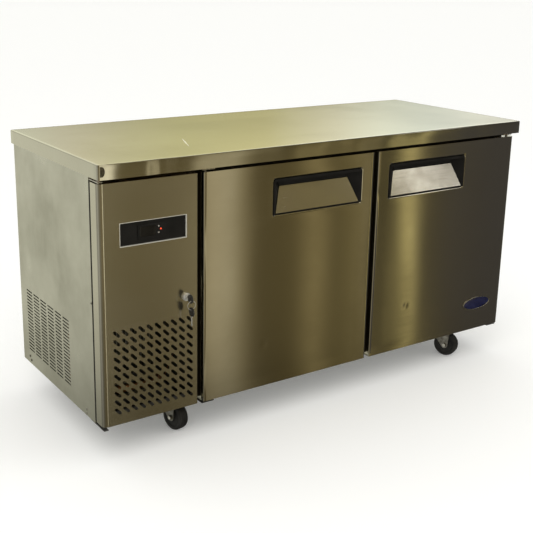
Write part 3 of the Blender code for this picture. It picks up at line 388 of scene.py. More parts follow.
mesh = rings_mesh("worktop", worktop_rings(((low.x, high.x), (low.y, high.y)), low.z, high.z))
lay_grain(mesh, (0.0, 1.0, 1.0), (1.0, 0.05, -0.05))
mount("worktop_sheet", mesh, "cabinet", top_steel, ["worktop"], sharp=50)

# The board fills the sheet from behind, a little clear of the bent fold.
board = finish_of("chipboard", (0.46, 0.33, 0.20), (0.33, 0.22, 0.12), (0.75, 0.95), patch=90,
                  grain=(300, 300, 300), depth=0.0003)
flat = outline((low.x + 0.0045, high.x - 0.0045), (low.y + 0.0060, high.y - 0.0030), [0.007] * 4, (8, 4))
core = level(flat, (low.z + 0.0003, high.z - 0.0022))
formed("worktop_core", [core], "cabinet", board, ["worktop_board"])

# A pale streak on the top, a painted highlight: a thin shape of half a sine on both sides of its middle line.
STREAK_ENDS = np.array([(-0.385, -0.065), (-0.431, -0.185)])
STREAK_HALF = np.array([0.0024, 0.0])
highlight_metal = finish_of("highlight_streak", (0.86, 0.85, 0.78), (0.80, 0.79, 0.70), (0.30, 0.45), 0.6, patch=60)
share = np.linspace(0, 1, 15)
along = STREAK_ENDS[0] + share[:, None] * (STREAK_ENDS[1] - STREAK_ENDS[0])
aside = STREAK_HALF * np.sin(np.pi * np.clip(share, 0.02, 0.98))[:, None]
highlight_streak = level(np.concatenate([along - aside, (along + aside)[::-1]]), (high.z - 0.0006, high.z - 0.0001))
formed("highlight_streak", [highlight_streak], "cabinet", highlight_metal)

# A dark D-shaped patch at the left front corner, a painted dark reflection: a straight left side and
# half a circle on the right, in rings from the fold outwards.
PATCH_LEFT, PATCH_MIDDLE_X, PATCH_REACH = 0.0065, 0.0105, 0.0085
PATCH_MIDDLE_Z, PATCH_HALF = 0.7915, 0.0130
dark_reflection_steel = finish_of("painted_dark_reflection", (0.20, 0.19, 0.15), (0.11, 0.10, 0.08), (0.35, 0.55), 1.0, patch=120,
                       grain=(700, 700, 700), depth=0.00008)
turn = np.linspace(-np.pi / 2, np.pi / 2, 17)
dark_patch = []
for inset, out in ((0.0, 0.0009), (0.0, -0.0001), (0.0014, -0.0004), (0.0050, -0.0004)):
    half_high = PATCH_HALF - inset
    x = low.x + np.concatenate([[PATCH_LEFT + inset] * 2, PATCH_MIDDLE_X + (PATCH_REACH - inset) * np.cos(turn)])
    z = PATCH_MIDDLE_Z + half_high * np.concatenate([[1, -1], np.sin(turn)])
    dark_patch.append(np.column_stack([x, low.y + bent_back(x) + out, z]))
formed("corner_dark_reflection", [np.array(dark_patch)], "cabinet", dark_reflection_steel, sharp=50)


# ---- The casing -----------------------------------------------------------------------------
# Side panels of thin stainless, the left one punched with rows of narrow slots beside the machinery,
# and a galvanised back and base. All are folded at the edges and screwed to each other.
side_steel = finish_of("side_steel", (0.63, 0.62, 0.555), (0.53, 0.52, 0.45), (0.27, 0.40), 1.0, patch=5.0,
                       grain=(260, 260, 7), depth=0.00003, wave=0.0022)
zinc_sheet = finish_of("galvanised_sheet", (0.52, 0.54, 0.55), (0.40, 0.42, 0.43), (0.36, 0.55), 1.0,
                       patch=60, grain=(90, 90, 90), depth=0.00006, wave=0.001)
black_paint = finish_of("black_enamel", (0.018, 0.018, 0.019), (0.045, 0.043, 0.040), (0.32, 0.55),
                        patch=22, grain=(500, 500, 500), depth=0.00004, specks=260)


def trimmed(node, grain=None):
    """A copy of a CAD node with its loose triangles welded and its flat areas made whole."""
    mesh = nodes[node].data.copy()
    shape = bmesh.new()
    shape.from_mesh(mesh)
    bmesh.ops.remove_doubles(shape, verts=shape.verts, dist=2e-6)
    bmesh.ops.dissolve_limit(shape, angle_limit=math.radians(1), verts=shape.verts, edges=shape.edges)
    bmesh.ops.recalc_face_normals(shape, faces=shape.faces)
    shape.to_mesh(mesh)
    shape.free()
    if grain:
        for layer in list(mesh.uv_layers):
            mesh.uv_layers.remove(layer)
        lay_grain(mesh, *grain)
    return mesh


def refined(name, node, body, finish, width, segments=2, sharp=40.0, angle=32.0, grain=None):
    """A piece with a CAD node's shape and its edges rounded by width, as a fold, a mould or a deburring
    wheel leaves them."""
    piece = mount(name, trimmed(node, grain), body, finish, [node], sharp)
    bevel = piece.modifiers.new("edges", "BEVEL")
    bevel.width, bevel.segments = width, segments
    bevel.limit_method, bevel.angle_limit = "ANGLE", math.radians(angle)
    flatten = piece.modifiers.new("flat_areas", "WEIGHTED_NORMAL")
    flatten.mode, flatten.weight, flatten.keep_sharp = "FACE_AREA", 100, True
    return piece


def coat_nodes(finish, *names):
    """Puts a finish on CAD nodes that keep their own shape."""
    for name in names:
        nodes[name].material_slots[0].material = finish


coat_nodes(side_steel, "left_side_panel", "right_side_panel")
coat_nodes(zinc_sheet, "back_panel", "base_pan", "partition_panel")
coat_nodes(black_paint, "machine_tray", "cable_gland")

# Pan-head screws: zinc-plated, with a cross recess.
zinc = finish_of("zinc_plate", (0.62, 0.61, 0.58), (0.45, 0.44, 0.41), (0.22, 0.40), 1.0, patch=120,
                 grain=(700, 700, 700), depth=0.00003)
# A darker copy of the zinc, used only on the rear side screws.
dark_zinc = finish_of("darker_zinc", (0.24, 0.22, 0.18), (0.12, 0.11, 0.09), (0.40, 0.60), 1.0, patch=150,
                      grain=(700, 700, 700), depth=0.00004)
SCREW = np.array([[0.0, 0.55], [0.10, 0.30], [0.34, 0.30], [0.40, 0.62], [0.60, 0.72], [0.86, 0.45],
                  [1.0, 0.10], [1.0, 0.0]])


def screw_rings(place, normal, radius, height):
    """Circles round a normal, by the radius and height of a dome's profile. Near the middle a cosine of
    four times the angle draws the circles into a cross."""
    normal = Vector(normal).normalized()
    side = normal.orthogonal().normalized()
    other = normal.cross(side)
    turn = np.linspace(0, 2 * np.pi, 24, endpoint=False)
    reach = SCREW[:, :1] * (1 + 0.42 * np.cos(4 * turn) * (SCREW[:, :1] < 0.5))
    out = np.cos(turn)[:, None] * np.array(side) + np.sin(turn)[:, None] * np.array(other)
    flat = reach[..., None] * out
    return np.array(place) + radius * flat + (height * SCREW[:, 1])[:, None, None] * np.array(normal)


def screws(name, spots, normal, radius, height, body, finish):
    """Screws at several spots, as one piece."""
    heads = [screw_rings(spot, normal, radius, height)[::-1] for spot in spots]
    formed(name, heads, body, finish, sharp=60)


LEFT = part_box("left_side_panel")[0].x
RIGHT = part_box("right_side_panel")[1].x
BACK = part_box("back_panel")[1].y
for name, spots, normal, radius, height, plating in (
    ("side_screws_rear", [(LEFT, 0.239, 0.123), (LEFT, 0.228, 0.113)], (-1, 0, 0), 0.0042, 0.0018, dark_zinc),
    ("side_screws_front", [(LEFT, -0.175, 0.119), (LEFT, -0.175, 0.107)], (-1, 0, 0), 0.0040, 0.0018, zinc),
    ("right_side_screws", [(RIGHT, y, z) for y in (-0.175, 0.235) for z in (0.120, 0.745)],
     (1, 0, 0), 0.0040, 0.0018, zinc),
    ("back_screws", [(x, BACK, z) for x in (-0.73, -0.37, 0.0, 0.37, 0.73) for z in (0.118, 0.752)],
     (0, 1, 0), 0.0042, 0.0020, zinc),
    ("panel_catch", [(LEFT, -0.2262, 0.437)], (-1, 0, 0), 0.0036, 0.0022, zinc),
):
    screws(name, spots, normal, radius, height, "cabinet", plating)

# A black mat behind the vents in the back, painted shade: it makes the view in through the vents dark.
MAT_X, MAT_Z = (-0.710, -0.496), (0.245, 0.615)
mat = level(outline(MAT_X, (BACK - 0.0050, BACK - 0.0013), [0.001] * 4, (2, 1), 2), MAT_Z)
formed("vent_shade_mat", [mat], "cabinet", black_paint)


# ---- The cold cabinet -----------------------------------------------------------------------
# A stucco aluminium liner in cream foam, a front frame of steel coloured near black as painted shade,
# coated wire shelves on clips, and the evaporator behind its own little housing with a fan.
liner_metal = finish_of("stucco_aluminium", (0.74, 0.75, 0.76), (0.62, 0.63, 0.64), (0.30, 0.45), 1.0,
                        patch=10, grain=(170, 170, 170), depth=0.0004)
cream_foam = finish_of("cream_foam", (0.80, 0.72, 0.48), (0.66, 0.56, 0.33), (0.85, 0.98), patch=40,
                       grain=(420, 420, 420), depth=0.0005, specks=180)
wire_coat = finish_of("wire_coating", (0.66, 0.67, 0.66), (0.52, 0.53, 0.52), (0.28, 0.45), patch=30,
                      grain=(200, 200, 200), depth=0.00008)
fin_metal = finish_of("fin_aluminium", (0.66, 0.67, 0.68), (0.48, 0.48, 0.47), (0.30, 0.50), 1.0, patch=25,
                      grain=(40, 40, 900), depth=0.0003)
white_plastic = finish_of("white_plastic", (0.78, 0.79, 0.77), (0.68, 0.68, 0.64), (0.30, 0.48), patch=8,
                          grain=(240, 240, 240), depth=0.00006)
# Painted shade: the front frame and mullion are coloured near black so the gaps round the doors read dark.
frame_painted_shade = finish_of("frame_painted_shade", (0.085, 0.080, 0.070), (0.055, 0.050, 0.042), (0.42, 0.58), 1.0,
                        patch=12, grain=(260, 260, 7), depth=0.00003)
coat_nodes(cream_foam, "insulation")
coat_nodes(liner_metal, "inner_liner", "evaporator_cover")
coat_nodes(frame_painted_shade, "front_frame", "centre_mullion")
coat_nodes(wire_coat, "shelf_left", "shelf_right")
coat_nodes(fin_metal, "evaporator_coil")
coat_nodes(white_plastic, "evaporator_fan")


def tube_rings(path, radius, around):
    """Circles of one radius round a path, each square to it: the first side direction is carried along
    by dropping its part along the path at every point."""
    path = np.asarray(path, float)
    along = np.gradient(path, axis=0)
    along /= np.linalg.norm(along, axis=1, keepdims=True)
    side = np.cross(along[0], [0.13, 0.31, 0.94])
    sides = []
    for direction in along:
        side = side - direction * (side @ direction)
        side /= np.linalg.norm(side)
        sides.append(side)
    sides = np.array(sides)
    others = np.cross(along, sides)
    turn = np.linspace(0, 2 * np.pi, around, endpoint=False)
    radius = np.broadcast_to(np.asarray(radius, float), len(path))[:, None, None]
    out = np.cos(turn)[:, None] * sides[:, None] + np.sin(turn)[:, None] * others[:, None]
    return path[:, None] + radius * out


def rounded_path(corners, bend):
    """A path through corner points with each inner corner replaced by a curve that starts and ends bend
    away from it: a quadratic between the two straight stretches."""
    corners = np.asarray(corners, float)
    share = np.linspace(0, 1, 6)[:, None]
    run = [corners[:1]]
    for before, corner, after in zip(corners[:-2], corners[1:-1], corners[2:]):
        start = corner + (before - corner) * min(0.5, bend / np.linalg.norm(before - corner))
        end = corner + (after - corner) * min(0.5, bend / np.linalg.norm(after - corner))
        run.append((1 - share) ** 2 * start + 2 * share * (1 - share) * corner + share ** 2 * end)
    run.append(corners[-1:])
    return np.concatenate(run)


# Shelf clips: small white blocks in the liner under each shelf corner, drawn in below and above.
CLIP_HALF = np.array([0.007, 0.005])
CLIP_SHAPE = ((0.55, 0.4130), (0.9, 0.4150), (1.0, 0.4190), (1.0, 0.4252), (0.9, 0.4257))
clips = []
for spot in np.array([(x, y) for x in (-0.285, 0.139, 0.163, 0.681) for y in (-0.178, 0.219)]):
    flat = outline(*zip(spot - CLIP_HALF, spot + CLIP_HALF), [0.002] * 4, (1, 1), 3)
    clips.append(np.concatenate([level(spot + (flat - spot) * share, [z]) for share, z in CLIP_SHAPE]))
formed("shelf_clips", clips, "cabinet", white_plastic)

# The evaporator fan's guard: four rings of wire on three spokes.
FAN_Y, FAN_Z, GUARD_X = 0.0475, 0.560, -0.2975
GUARD_WIRE, GUARD_SPOKE = 0.0009, 0.0011
GUARD_RINGS = (0.018, 0.036, 0.054, 0.072)
SPOKE_REACH, SPOKE_ANGLES = np.array([0.010, 0.076]), (0.4, 2.5, 4.6)


def over_fan(reach, angle):
    """Points in front of the fan, at a reach and an angle from its middle."""
    y, z = FAN_Y + reach * np.cos(angle), FAN_Z + reach * np.sin(angle)
    return np.column_stack([np.full(len(y), GUARD_X), y, z])


guard = [tube_rings(over_fan(reach, np.linspace(0, 2 * np.pi, 41)), GUARD_WIRE, 6) for reach in GUARD_RINGS]
guard += [tube_rings(over_fan(SPOKE_REACH, angle), GUARD_SPOKE, 6) for angle in SPOKE_ANGLES]
formed("evaporator_fan_guard", guard, "cabinet", wire_coat)


# ---- The machine compartment ----------------------------------------------------------------
# A small refrigerating machine on a tray: finned condenser with its fan, a welded steel compressor,
# copper pipes, and a plastic pan for the meltwater.
copper = finish_of("copper_pipe", (0.70, 0.36, 0.20), (0.36, 0.19, 0.11), (0.25, 0.5), 1.0, patch=60,
                   grain=(200, 200, 200), depth=0.00005)
coat_nodes(fin_metal, "condenser_coil")
coat_nodes(black_paint, "fan_shroud", "condenser_fan_motor", "condenser_fan")

# The condenser's return bends: half turns of pipe at both ends of its coil.
RETURN_Y, RETURN_REACH, RETURN_HALF, RETURN_PIPE = -0.034, 0.006, 0.010, 0.0035
low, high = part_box("condenser_coil")
turn = np.linspace(0, np.pi, 9)
pipes = []
for z in np.linspace(0.150, 0.370, 8):
    for x, out in ((low.x, -1), (high.x, 1)):
        path = np.column_stack([x + out * (0.001 + RETURN_REACH * np.sin(turn)), np.full(9, RETURN_Y),
                                z + RETURN_HALF * np.cos(turn)])
        pipes.append(tube_rings(path, RETURN_PIPE, 8))
formed("condenser_bends", pipes, "cabinet", copper)

# The compressor's shell: two pressed halves with a weld bead round the middle, on a plate with feet.
COMPRESSOR_X, COMPRESSOR_Y, COMPRESSOR_FOOT = -0.600, 0.185, 0.1185
COMPRESSOR_OVAL = 0.93
low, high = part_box("compressor")
profile = np.array([[0.0, 0.001], [0.040, 0.001], [0.058, 0.006], [0.068, 0.018], [0.0715, 0.040],
                    [0.0718, 0.084], [0.0720, 0.086], [0.0745, 0.088], [0.0745, 0.092], [0.0718, 0.094],
                    [0.0712, 0.100], [0.068, 0.122], [0.059, 0.143], [0.044, 0.156], [0.024, 0.1625],
                    [0.0, 0.1645]])
turn = np.linspace(0, 2 * np.pi, 64, endpoint=False)
shell = np.stack([COMPRESSOR_X + profile[:, :1] * np.cos(turn),
                  COMPRESSOR_Y + COMPRESSOR_OVAL * profile[:, :1] * np.sin(turn),
                  np.repeat(COMPRESSOR_FOOT + profile[:, 1:], 64, axis=1)], -1)
feet = level(outline((low.x, high.x), (0.130, 0.240), [0.02] * 4, (6, 3), 5), (0.1175, 0.1215))
formed("compressor_shell", [shell, feet], "cabinet", black_paint, ["compressor"], sharp=55)
RELAY_X, RELAY_Y, RELAY_Z = (-0.628, -0.572), (0.100, 0.118), (0.165, 0.225)
relay = level(outline(RELAY_X, RELAY_Y, [0.004, 0.004, 0.001, 0.001], (4, 2), 4), RELAY_Z)
formed("compressor_relay_box", [relay], "cabinet", black_paint)

# Three copper pipes: compressor to condenser, back from the evaporator, and on to it.
PIPE_RADIUS = 0.0032
pipe_runs = [
    rounded_path([(-0.640, 0.215, 0.262), (-0.640, 0.215, 0.300), (-0.705, 0.215, 0.300),
                  (-0.705, -0.010, 0.372), (-0.722, -0.030, 0.372)], 0.018),
    rounded_path([(-0.560, 0.215, 0.262), (-0.560, 0.215, 0.345), (-0.492, 0.215, 0.345),
                  (-0.492, 0.215, 0.560), (-0.475, 0.215, 0.560)], 0.020),
    rounded_path([(-0.482, -0.034, 0.150), (-0.466, -0.034, 0.140), (-0.466, 0.110, 0.140),
                  (-0.480, 0.190, 0.140), (-0.480, 0.190, 0.500)], 0.012),
]
shapes = [tube_rings(run, PIPE_RADIUS, 10) for run in pipe_runs]
formed("refrigerant_pipes", shapes, "cabinet", copper)

# The meltwater pan lies on the tray in front of the condenser, under the lowest slots of the cover.
PAN_X, PAN_Y = (-0.722, -0.478), (-0.205, -0.075)
PAN_WALL = ((0.010, 0.1172), (0.004, 0.1190), (0.001, 0.1420), (0.0, 0.1432), (0.0016, 0.1440),
            (0.0030, 0.1425), (0.0065, 0.1205), (0.012, 0.1190))
pan = [level(outline(PAN_X, PAN_Y, [0.012] * 4, (10, 6), 5, inset), [z]) for inset, z in PAN_WALL]
formed("meltwater_pan", [np.concatenate(pan)], "cabinet", black_paint, sharp=60)
heater = rounded_path([(x, y, 0.1300) for x, y in (
    (-0.700, -0.170), (-0.500, -0.170), (-0.500, -0.145), (-0.700, -0.145), (-0.700, -0.120),
    (-0.500, -0.120), (-0.500, -0.098), (-0.640, -0.098))], 0.012)
formed("pan_heater_pipe", [tube_rings(heater, PIPE_RADIUS, 10)], "cabinet", zinc)

# The filter drier lies just behind the lowest slots: a spun copper can between the condenser's outlet
# and the coiled capillary tube.
DRIER_Y, DRIER_Z = -0.190, 0.160
CAPILLARY, COIL_RADIUS, COIL_PITCH = 0.0012, 0.012, 0.0045
can_x = np.array([-0.690, -0.672, -0.668, -0.663, -0.557, -0.552, -0.548, -0.540])
can_radius = np.array([0.0032, 0.0032, 0.0075, 0.0110, 0.0110, 0.0075, 0.0015, 0.0015])
can = tube_rings(np.column_stack([can_x, np.full(8, DRIER_Y), np.full(8, DRIER_Z)]), can_radius, 20)
inlet = [(-0.722, -0.045, DRIER_Z), (-0.712, DRIER_Y, DRIER_Z), (-0.688, DRIER_Y, DRIER_Z)]
inlet = rounded_path(inlet, 0.02)
turn = np.linspace(0, 10 * np.pi, 101)
coil = np.column_stack([-0.541 + COIL_PITCH * turn / (2 * np.pi), DRIER_Y + COIL_RADIUS * (1 - np.cos(turn)),
                        DRIER_Z + COIL_RADIUS * np.sin(turn)])
coil = np.concatenate([coil, [(-0.505, -0.180, 0.175), (-0.470, -0.150, 0.200), (-0.4550, -0.140, 0.205)]])
shapes = [can, tube_rings(inlet, PIPE_RADIUS, 10), tube_rings(coil, CAPILLARY, 8)]
formed("filter_drier", shapes, "cabinet", copper)


# ---- The doors ------------------------------------------------------------------------------
# Each door is a stainless skin over foam, folded round at its edges, brushed level with the floor, with a
# window for the handle. The sheet is a little slack, so what it mirrors wanders. A white liner and a
# rubber gasket close it behind.
door_steel = finish_of("door_steel", (0.60, 0.575, 0.50), (0.56, 0.53, 0.45), (0.075, 0.115), 1.0, patch=3.0,
                       grain=(5, 380, 420), depth=0.000004, wave=0.0002, anisotropy=0.9)
DOOR_SHEET = 0.0006
UPRIGHT_ROUND, FOLD_ROUND = 0.014, 0.003
HANDLE_LIP, HANDLE_WINDOW = 0.0025, (0.6137, 0.7133)
GRAIN_UP = ((0.05, -0.05, 1.0), (1.0, 1.0, 0.0))


def folded_front(name, x, y, z, rounds, window, slack, steps=(96, 104)):
    """A door's front as a grid: across, the profile runs up the left side, round its fold, over the face,
    round the other fold and back; the other way it is simply height. Columns and rows fall on the window's
    edges, and the faces inside the window are left out. The two ends are filled flat. Slack moves the face
    back, less and less towards the right fold, both ends and the window."""
    (x0, x1), (face, back), (z0, z1) = x, y, z
    left, right = rounds
    turn = np.linspace(0, np.pi / 2, 9)
    wx, wz = window
    across = np.concatenate([
        np.linspace(x0 + left, wx[0], max(2, int(steps[0] * (wx[0] - x0) / (x1 - x0))), endpoint=False),
        np.linspace(wx[0], wx[1], int(steps[0] * (wx[1] - wx[0]) / (x1 - x0)), endpoint=False),
        np.linspace(wx[1], x1 - right, max(3, int(steps[0] * (x1 - wx[1]) / (x1 - x0)))),
    ])
    bend_left = np.column_stack([x0 + left * (1 - np.cos(turn)), face + left * (1 - np.sin(turn))])[:-1]
    bend_right = np.column_stack([x1 - right * (1 - np.sin(turn)), face + right * (1 - np.cos(turn))])[1:]
    profile = np.concatenate([[[x0, back]], bend_left, np.column_stack([across, np.full(len(across), face)]),
                              bend_right, [[x1, back]]])
    height = np.concatenate([
        np.linspace(z0, wz[0], int(steps[1] * (wz[0] - z0) / (z1 - z0)), endpoint=False),
        np.linspace(wz[0], wz[1], int(steps[1] * (wz[1] - wz[0]) / (z1 - z0)), endpoint=False),
        np.linspace(wz[1], z1, max(4, int(steps[1] * (z1 - wz[1]) / (z1 - z0)))),
    ])
    grid = np.empty((len(height), len(profile), 3))
    grid[..., 0], grid[..., 1], grid[..., 2] = profile[:, 0], profile[:, 1], height[:, None]
    px, pz = grid[..., 0], grid[..., 2]
    edge = np.clip((x1 - right - px) / 0.05, 0, 1)
    edge *= np.clip((pz - z0) / 0.03, 0, 1) * np.clip((z1 - pz) / 0.03, 0, 1)
    beside = np.maximum(np.maximum(wx[0] - px, px - wx[1]), np.maximum(wz[0] - pz, pz - wz[1]))
    give = slack(px, pz) * edge * np.clip(beside / 0.02, 0, 1)
    grid[..., 1] += np.where(grid[..., 1] < face + 1e-6, give, 0)
    rows, columns = grid.shape[:2]
    index = np.arange(rows * columns).reshape(rows, columns)
    quads = np.stack([index[:-1, :-1], index[:-1, 1:], index[1:, 1:], index[1:, :-1]], -1).reshape(-1, 4)
    middle = grid.reshape(-1, 3)[quads].mean(1)
    inside = (middle[:, 0] > wx[0]) & (middle[:, 0] < wx[1]) & (middle[:, 2] > wz[0]) & (middle[:, 2] < wz[1])
    inside &= middle[:, 1] < face + 0.002
    faces = quads[~inside].tolist() + [index[0][::-1].tolist(), index[-1].tolist()]
    mesh = bpy.data.meshes.new(name)
    mesh.from_pydata(grid.reshape(-1, 3).tolist(), [], faces)
    lay_grain(mesh, *GRAIN_UP)
    return mesh


def dent(x, z, at, width, depth):
    """One soft dent: a Gaussian bowl."""
    return depth * np.exp(-((x - at[0]) ** 2 + (z - at[1]) ** 2) / width ** 2)


def left_slack(x, z):
    """The left door's skin: two slow waves across it and a shallow dent low down."""
    return (0.00008 * (1 + np.cos(11 * x + 1.0)) + 0.00006 * (1 + np.sin(9 * z + 4 * x))
            + dent(x, z, (-0.24, 0.235), 0.008, 0.00012))


def right_slack(x, z):
    """The right door's skin: a smooth step that twists with height, so that what it mirrors leans to the
    right lower down, a slow wave, and a dent."""
    lean = 1 - np.clip((x - 0.22) / 0.16, 0, 1) ** 2 * (3 - 2 * np.clip((x - 0.22) / 0.16, 0, 1))
    return (0.00046 * lean * np.clip((0.70 - z) / 0.55, 0, 1) + 0.00003 * (1 + np.cos(10 * x + 0.5))
            + dent(x, z, (0.305, 0.25), 0.008, 0.00022))


black_plastic = finish_of("handle_plastic", (0.005, 0.005, 0.005), (0.011, 0.010, 0.009), (0.42, 0.56),
                          patch=18, grain=(900, 900, 900), depth=0.00005, glint=0.25)
rubber = finish_of("gasket_rubber", (0.010, 0.010, 0.009), (0.022, 0.020, 0.018), (0.55, 0.75), patch=30,
                   grain=(300, 300, 300), depth=0.00006, glint=0.3)
plate_steel = finish_of("grip_steel", (0.66, 0.64, 0.58), (0.60, 0.57, 0.50), (0.20, 0.28), 1.0, patch=8,
                        grain=(6, 380, 420), depth=0.00001, wave=0.0006, anisotropy=0.9)


def upright(flat, depth):
    """A ring that faces the front: a flat outline in X and Z at one depth."""
    return np.column_stack([flat[:, 0], np.full(len(flat), depth), flat[:, 1]])


def gasket_rings(x, z, y):
    """A gasket: a bellows section drawn in from the outline of the door, at depths between y."""
    shape = ((0.0, 0.10), (0.0010, 0.0), (0.0045, 0.0), (0.0055, 0.35), (0.0065, 0.0), (0.0120, 0.0),
             (0.0130, 0.15), (0.0130, 0.75), (0.0115, 1.0), (0.0065, 0.88), (0.0015, 1.0), (0.0, 0.80),
             (0.0012, 0.55), (0.0, 0.30))
    return np.array([upright(outline(x, z, [0.006] * 4, (30, 34), 4, inset), y[1] + (y[0] - y[1]) * share)
                     for inset, share in shape])


for door, rounds, slack in (("left_door", (FOLD_ROUND, FOLD_ROUND), left_slack),
                            ("right_door", (FOLD_ROUND, UPRIGHT_ROUND), right_slack)):
    low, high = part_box(door + "_skin")
    handle_low, handle_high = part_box(door + "_handle")
    window = ((handle_low.x + HANDLE_LIP, handle_high.x - HANDLE_LIP), HANDLE_WINDOW)
    mesh = folded_front(door + "_skin", *zip(low, high), rounds, window, slack)
    skin = mount(door + "_steel", mesh, door, door_steel, [door + "_skin"], sharp=45)
    wall = skin.modifiers.new("sheet", "SOLIDIFY")
    wall.thickness, wall.offset, wall.use_even_offset = DOOR_SHEET, -1.0, True
    coat_nodes(cream_foam, door + "_foam")
    refined(door + "_inner_liner", door + "_liner", door, white_plastic, 0.004, 3, sharp=30)
    (gx0, gy0, gz0), (gx1, gy1, gz1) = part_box(door + "_gasket")
    bellows = gasket_rings((gx0, gx1), (gz0, gz1), (gy0, gy1))
    formed(door + "_seal", [bellows], door, rubber, [door + "_gasket"], sharp=50, joined=True)

    refined(door + "_handle_moulding", door + "_handle", door, black_plastic, 0.0006,
            sharp=30)
    refined(door + "_grip_steel", door + "_grip_plate", door, plate_steel, 0.0002, sharp=30,
            grain=GRAIN_UP)

# The badge: a blank oval of blue enamel in a thin bright rim, on the right door.
enamel = finish_of("blue_enamel", (0.004, 0.005, 0.028), (0.008, 0.010, 0.042), (0.12, 0.24), patch=40,
                   grain=(300, 300, 300), depth=0.00002, coat=0.8)
low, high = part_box("badge")
turn = np.linspace(0, 2 * np.pi, 96, endpoint=False)
middle, reach = (low + high) / 2, (high - low) / 2


def oval_rings(steps):
    """Ovals round the badge's middle: each (inset, depth share) draws it in and moves it to the front."""
    return np.array([np.column_stack([
        middle.x + (reach.x - inset) * np.cos(turn), np.full(96, high.y + (low.y - high.y) * share),
        middle.z + (reach.z - inset) * np.sin(turn)]) for inset, share in steps])


rim = oval_rings([(0.0, 0.0), (0.0, 0.7), (0.0008, 1.0), (0.0018, 1.0), (0.0026, 0.55), (0.0026, 0.0)])
formed("badge_rim", [rim], "right_door", zinc, sharp=60, joined=True)
face = oval_rings([(0.0027, 0.0), (0.0027, 0.50), (0.0034, 0.58), (0.0080, 0.70), (0.0150, 0.78),
                   (0.0195, 0.80)])
formed("badge_face", [face], "right_door", enamel, ["badge"], sharp=60)


# ---- The machine cover ----------------------------------------------------------------------
# The same stainless, hinged at its left edge, with ten rows of slanting slots, a window for the
# controller, and a cam lock.
cover_steel = finish_of("cover_steel", (0.59, 0.57, 0.49), (0.53, 0.50, 0.42), (0.16, 0.24), 1.0, patch=3.4,
                        grain=(5, 380, 420), depth=0.000006, wave=0.0003, anisotropy=0.6)
refined("cover_steel", "machine_cover", "cover", cover_steel, 0.0005, sharp=38, angle=40,
        grain=GRAIN_UP)

# A black strip on the side panel's fold fills the gap behind the cover's hinged edge: painted shade, so that
# gap reads black.
STRIP_X, STRIP_Y, STRIP_Z = (-0.7440, -0.7290), (-0.2366, -0.2302), (0.1080, 0.7570)
strip = level(outline(STRIP_X, STRIP_Y, [0.0015, 0.0015, 0.0003, 0.0003], (2, 1), 3), STRIP_Z)
formed("cover_gap_shade_strip", [strip], "cabinet", rubber)

gloss_black = finish_of("display_gloss", (0.004, 0.004, 0.004), (0.009, 0.008, 0.007), (0.10, 0.22), patch=14,
                        grain=(600, 600, 600), depth=0.00001, glint=0.4)
refined("fascia", "control_fascia", "cover", black_plastic, 0.0002)
refined("controller_case", "controller", "cover", black_plastic, 0.0009, 3)

# The window's turned edge: a thin lip all round, in a pale colour that is a painted highlight.
FASCIA_X, FASCIA_Z = (-0.6875, -0.4955), (0.5910, 0.6525)
LIP = ((-0.0009, -0.2825), (-0.0007, -0.2831), (0.0, -0.2833), (0.0007, -0.2829), (0.0008, -0.2772),
       (0.0001, -0.2772), (-0.0002, -0.2818))
lip = [upright(outline(FASCIA_X, FASCIA_Z, [0.0015] * 4, (20, 8), 4, inset), depth) for inset, depth in LIP]
# A pale, half-metal colour that paints a highlight on thin edges and on the bolt ends.
pale_highlight = finish_of("painted_highlight_edge", (0.84, 0.82, 0.74), (0.70, 0.68, 0.60), (0.18, 0.30), 0.55, patch=60,
                   grain=(300, 300, 300), depth=0.00002)
formed("window_lip", [np.array(lip)], "cover", pale_highlight, sharp=60, joined=True)

# The display lens stands a little proud of the controller, with its lamp beside it.
low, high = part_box("controller")
LENS_X, LENS_Z = (low.x + 0.004, -0.584), (0.6085, 0.6365)
LENS = ((0.0, 0.0004), (0.0, -0.0004), (0.0006, -0.0010), (0.0020, -0.0011))
lens = [upright(outline(LENS_X, LENS_Z, [0.003] * 4, (8, 4), 5, inset), low.y + depth)
        for inset, depth in LENS]
formed("display_lens", [np.array(lens)], "cover", gloss_black)


def dome_rings(place, radius, height):
    """A small dome facing the front: circles that shrink as they come forward along a quarter circle."""
    turn = np.linspace(0, 2 * np.pi, 24, endpoint=False)
    rise = np.linspace(0, np.pi / 2, 6)[:-1]
    return np.array([np.column_stack([place[0] + radius * math.cos(a) * np.cos(turn),
                                      np.full(24, place[1] - height * math.sin(a)),
                                      place[2] + radius * math.cos(a) * np.sin(turn)]) for a in rise])


lamp_red = bpy.data.materials.new("red_lamp")
tree, add = tree_of(lamp_red)
glow = add("ShaderNodeTexNoise", {"Vector": add("ShaderNodeTexCoord").outputs["Object"], "Scale": 300.0})
warm = add("ShaderNodeMix", data_type="RGBA")
tree.links.new(glow.outputs["Fac"], warm.inputs["Factor"])
warm.inputs[6].default_value, warm.inputs[7].default_value = (0.80, 0.03, 0.01, 1), (0.95, 0.10, 0.03, 1)
surface = add("ShaderNodeBsdfPrincipled", {"Base Color": warm.outputs[2], "Roughness": 0.25})
tree.links.new(warm.outputs[2], surface.inputs["Emission Color"])
surface.inputs["Emission Strength"].default_value = 0.8
add("ShaderNodeOutputMaterial", {"Surface": surface.outputs[0]})
lamp = dome_rings((-0.5700, low.y, 0.6240), 0.0022, 0.0012)
formed("power_lamp", [lamp], "cover", lamp_red)
chrome = finish_of("chrome", (0.86, 0.85, 0.80), (0.70, 0.68, 0.62), (0.06, 0.16), 0.7, patch=90,
                   grain=(400, 400, 400), depth=0.00001)
coat_nodes(chrome, "button_up", "button_down")


# ---- The lock and its keys ------------------------------------------------------------------
# A plated cam lock with a key in it. A second key hangs from the first on a split ring.
refined("lock_body", "lock_barrel", "cover", chrome, 0.0004, 3)
refined("lock_core", "lock_plug", "plug", chrome, 0.0003)
key_black = finish_of("key_plastic", (0.012, 0.012, 0.013), (0.030, 0.029, 0.028), (0.22, 0.40), patch=120,
                      grain=(500, 500, 500), depth=0.00004)


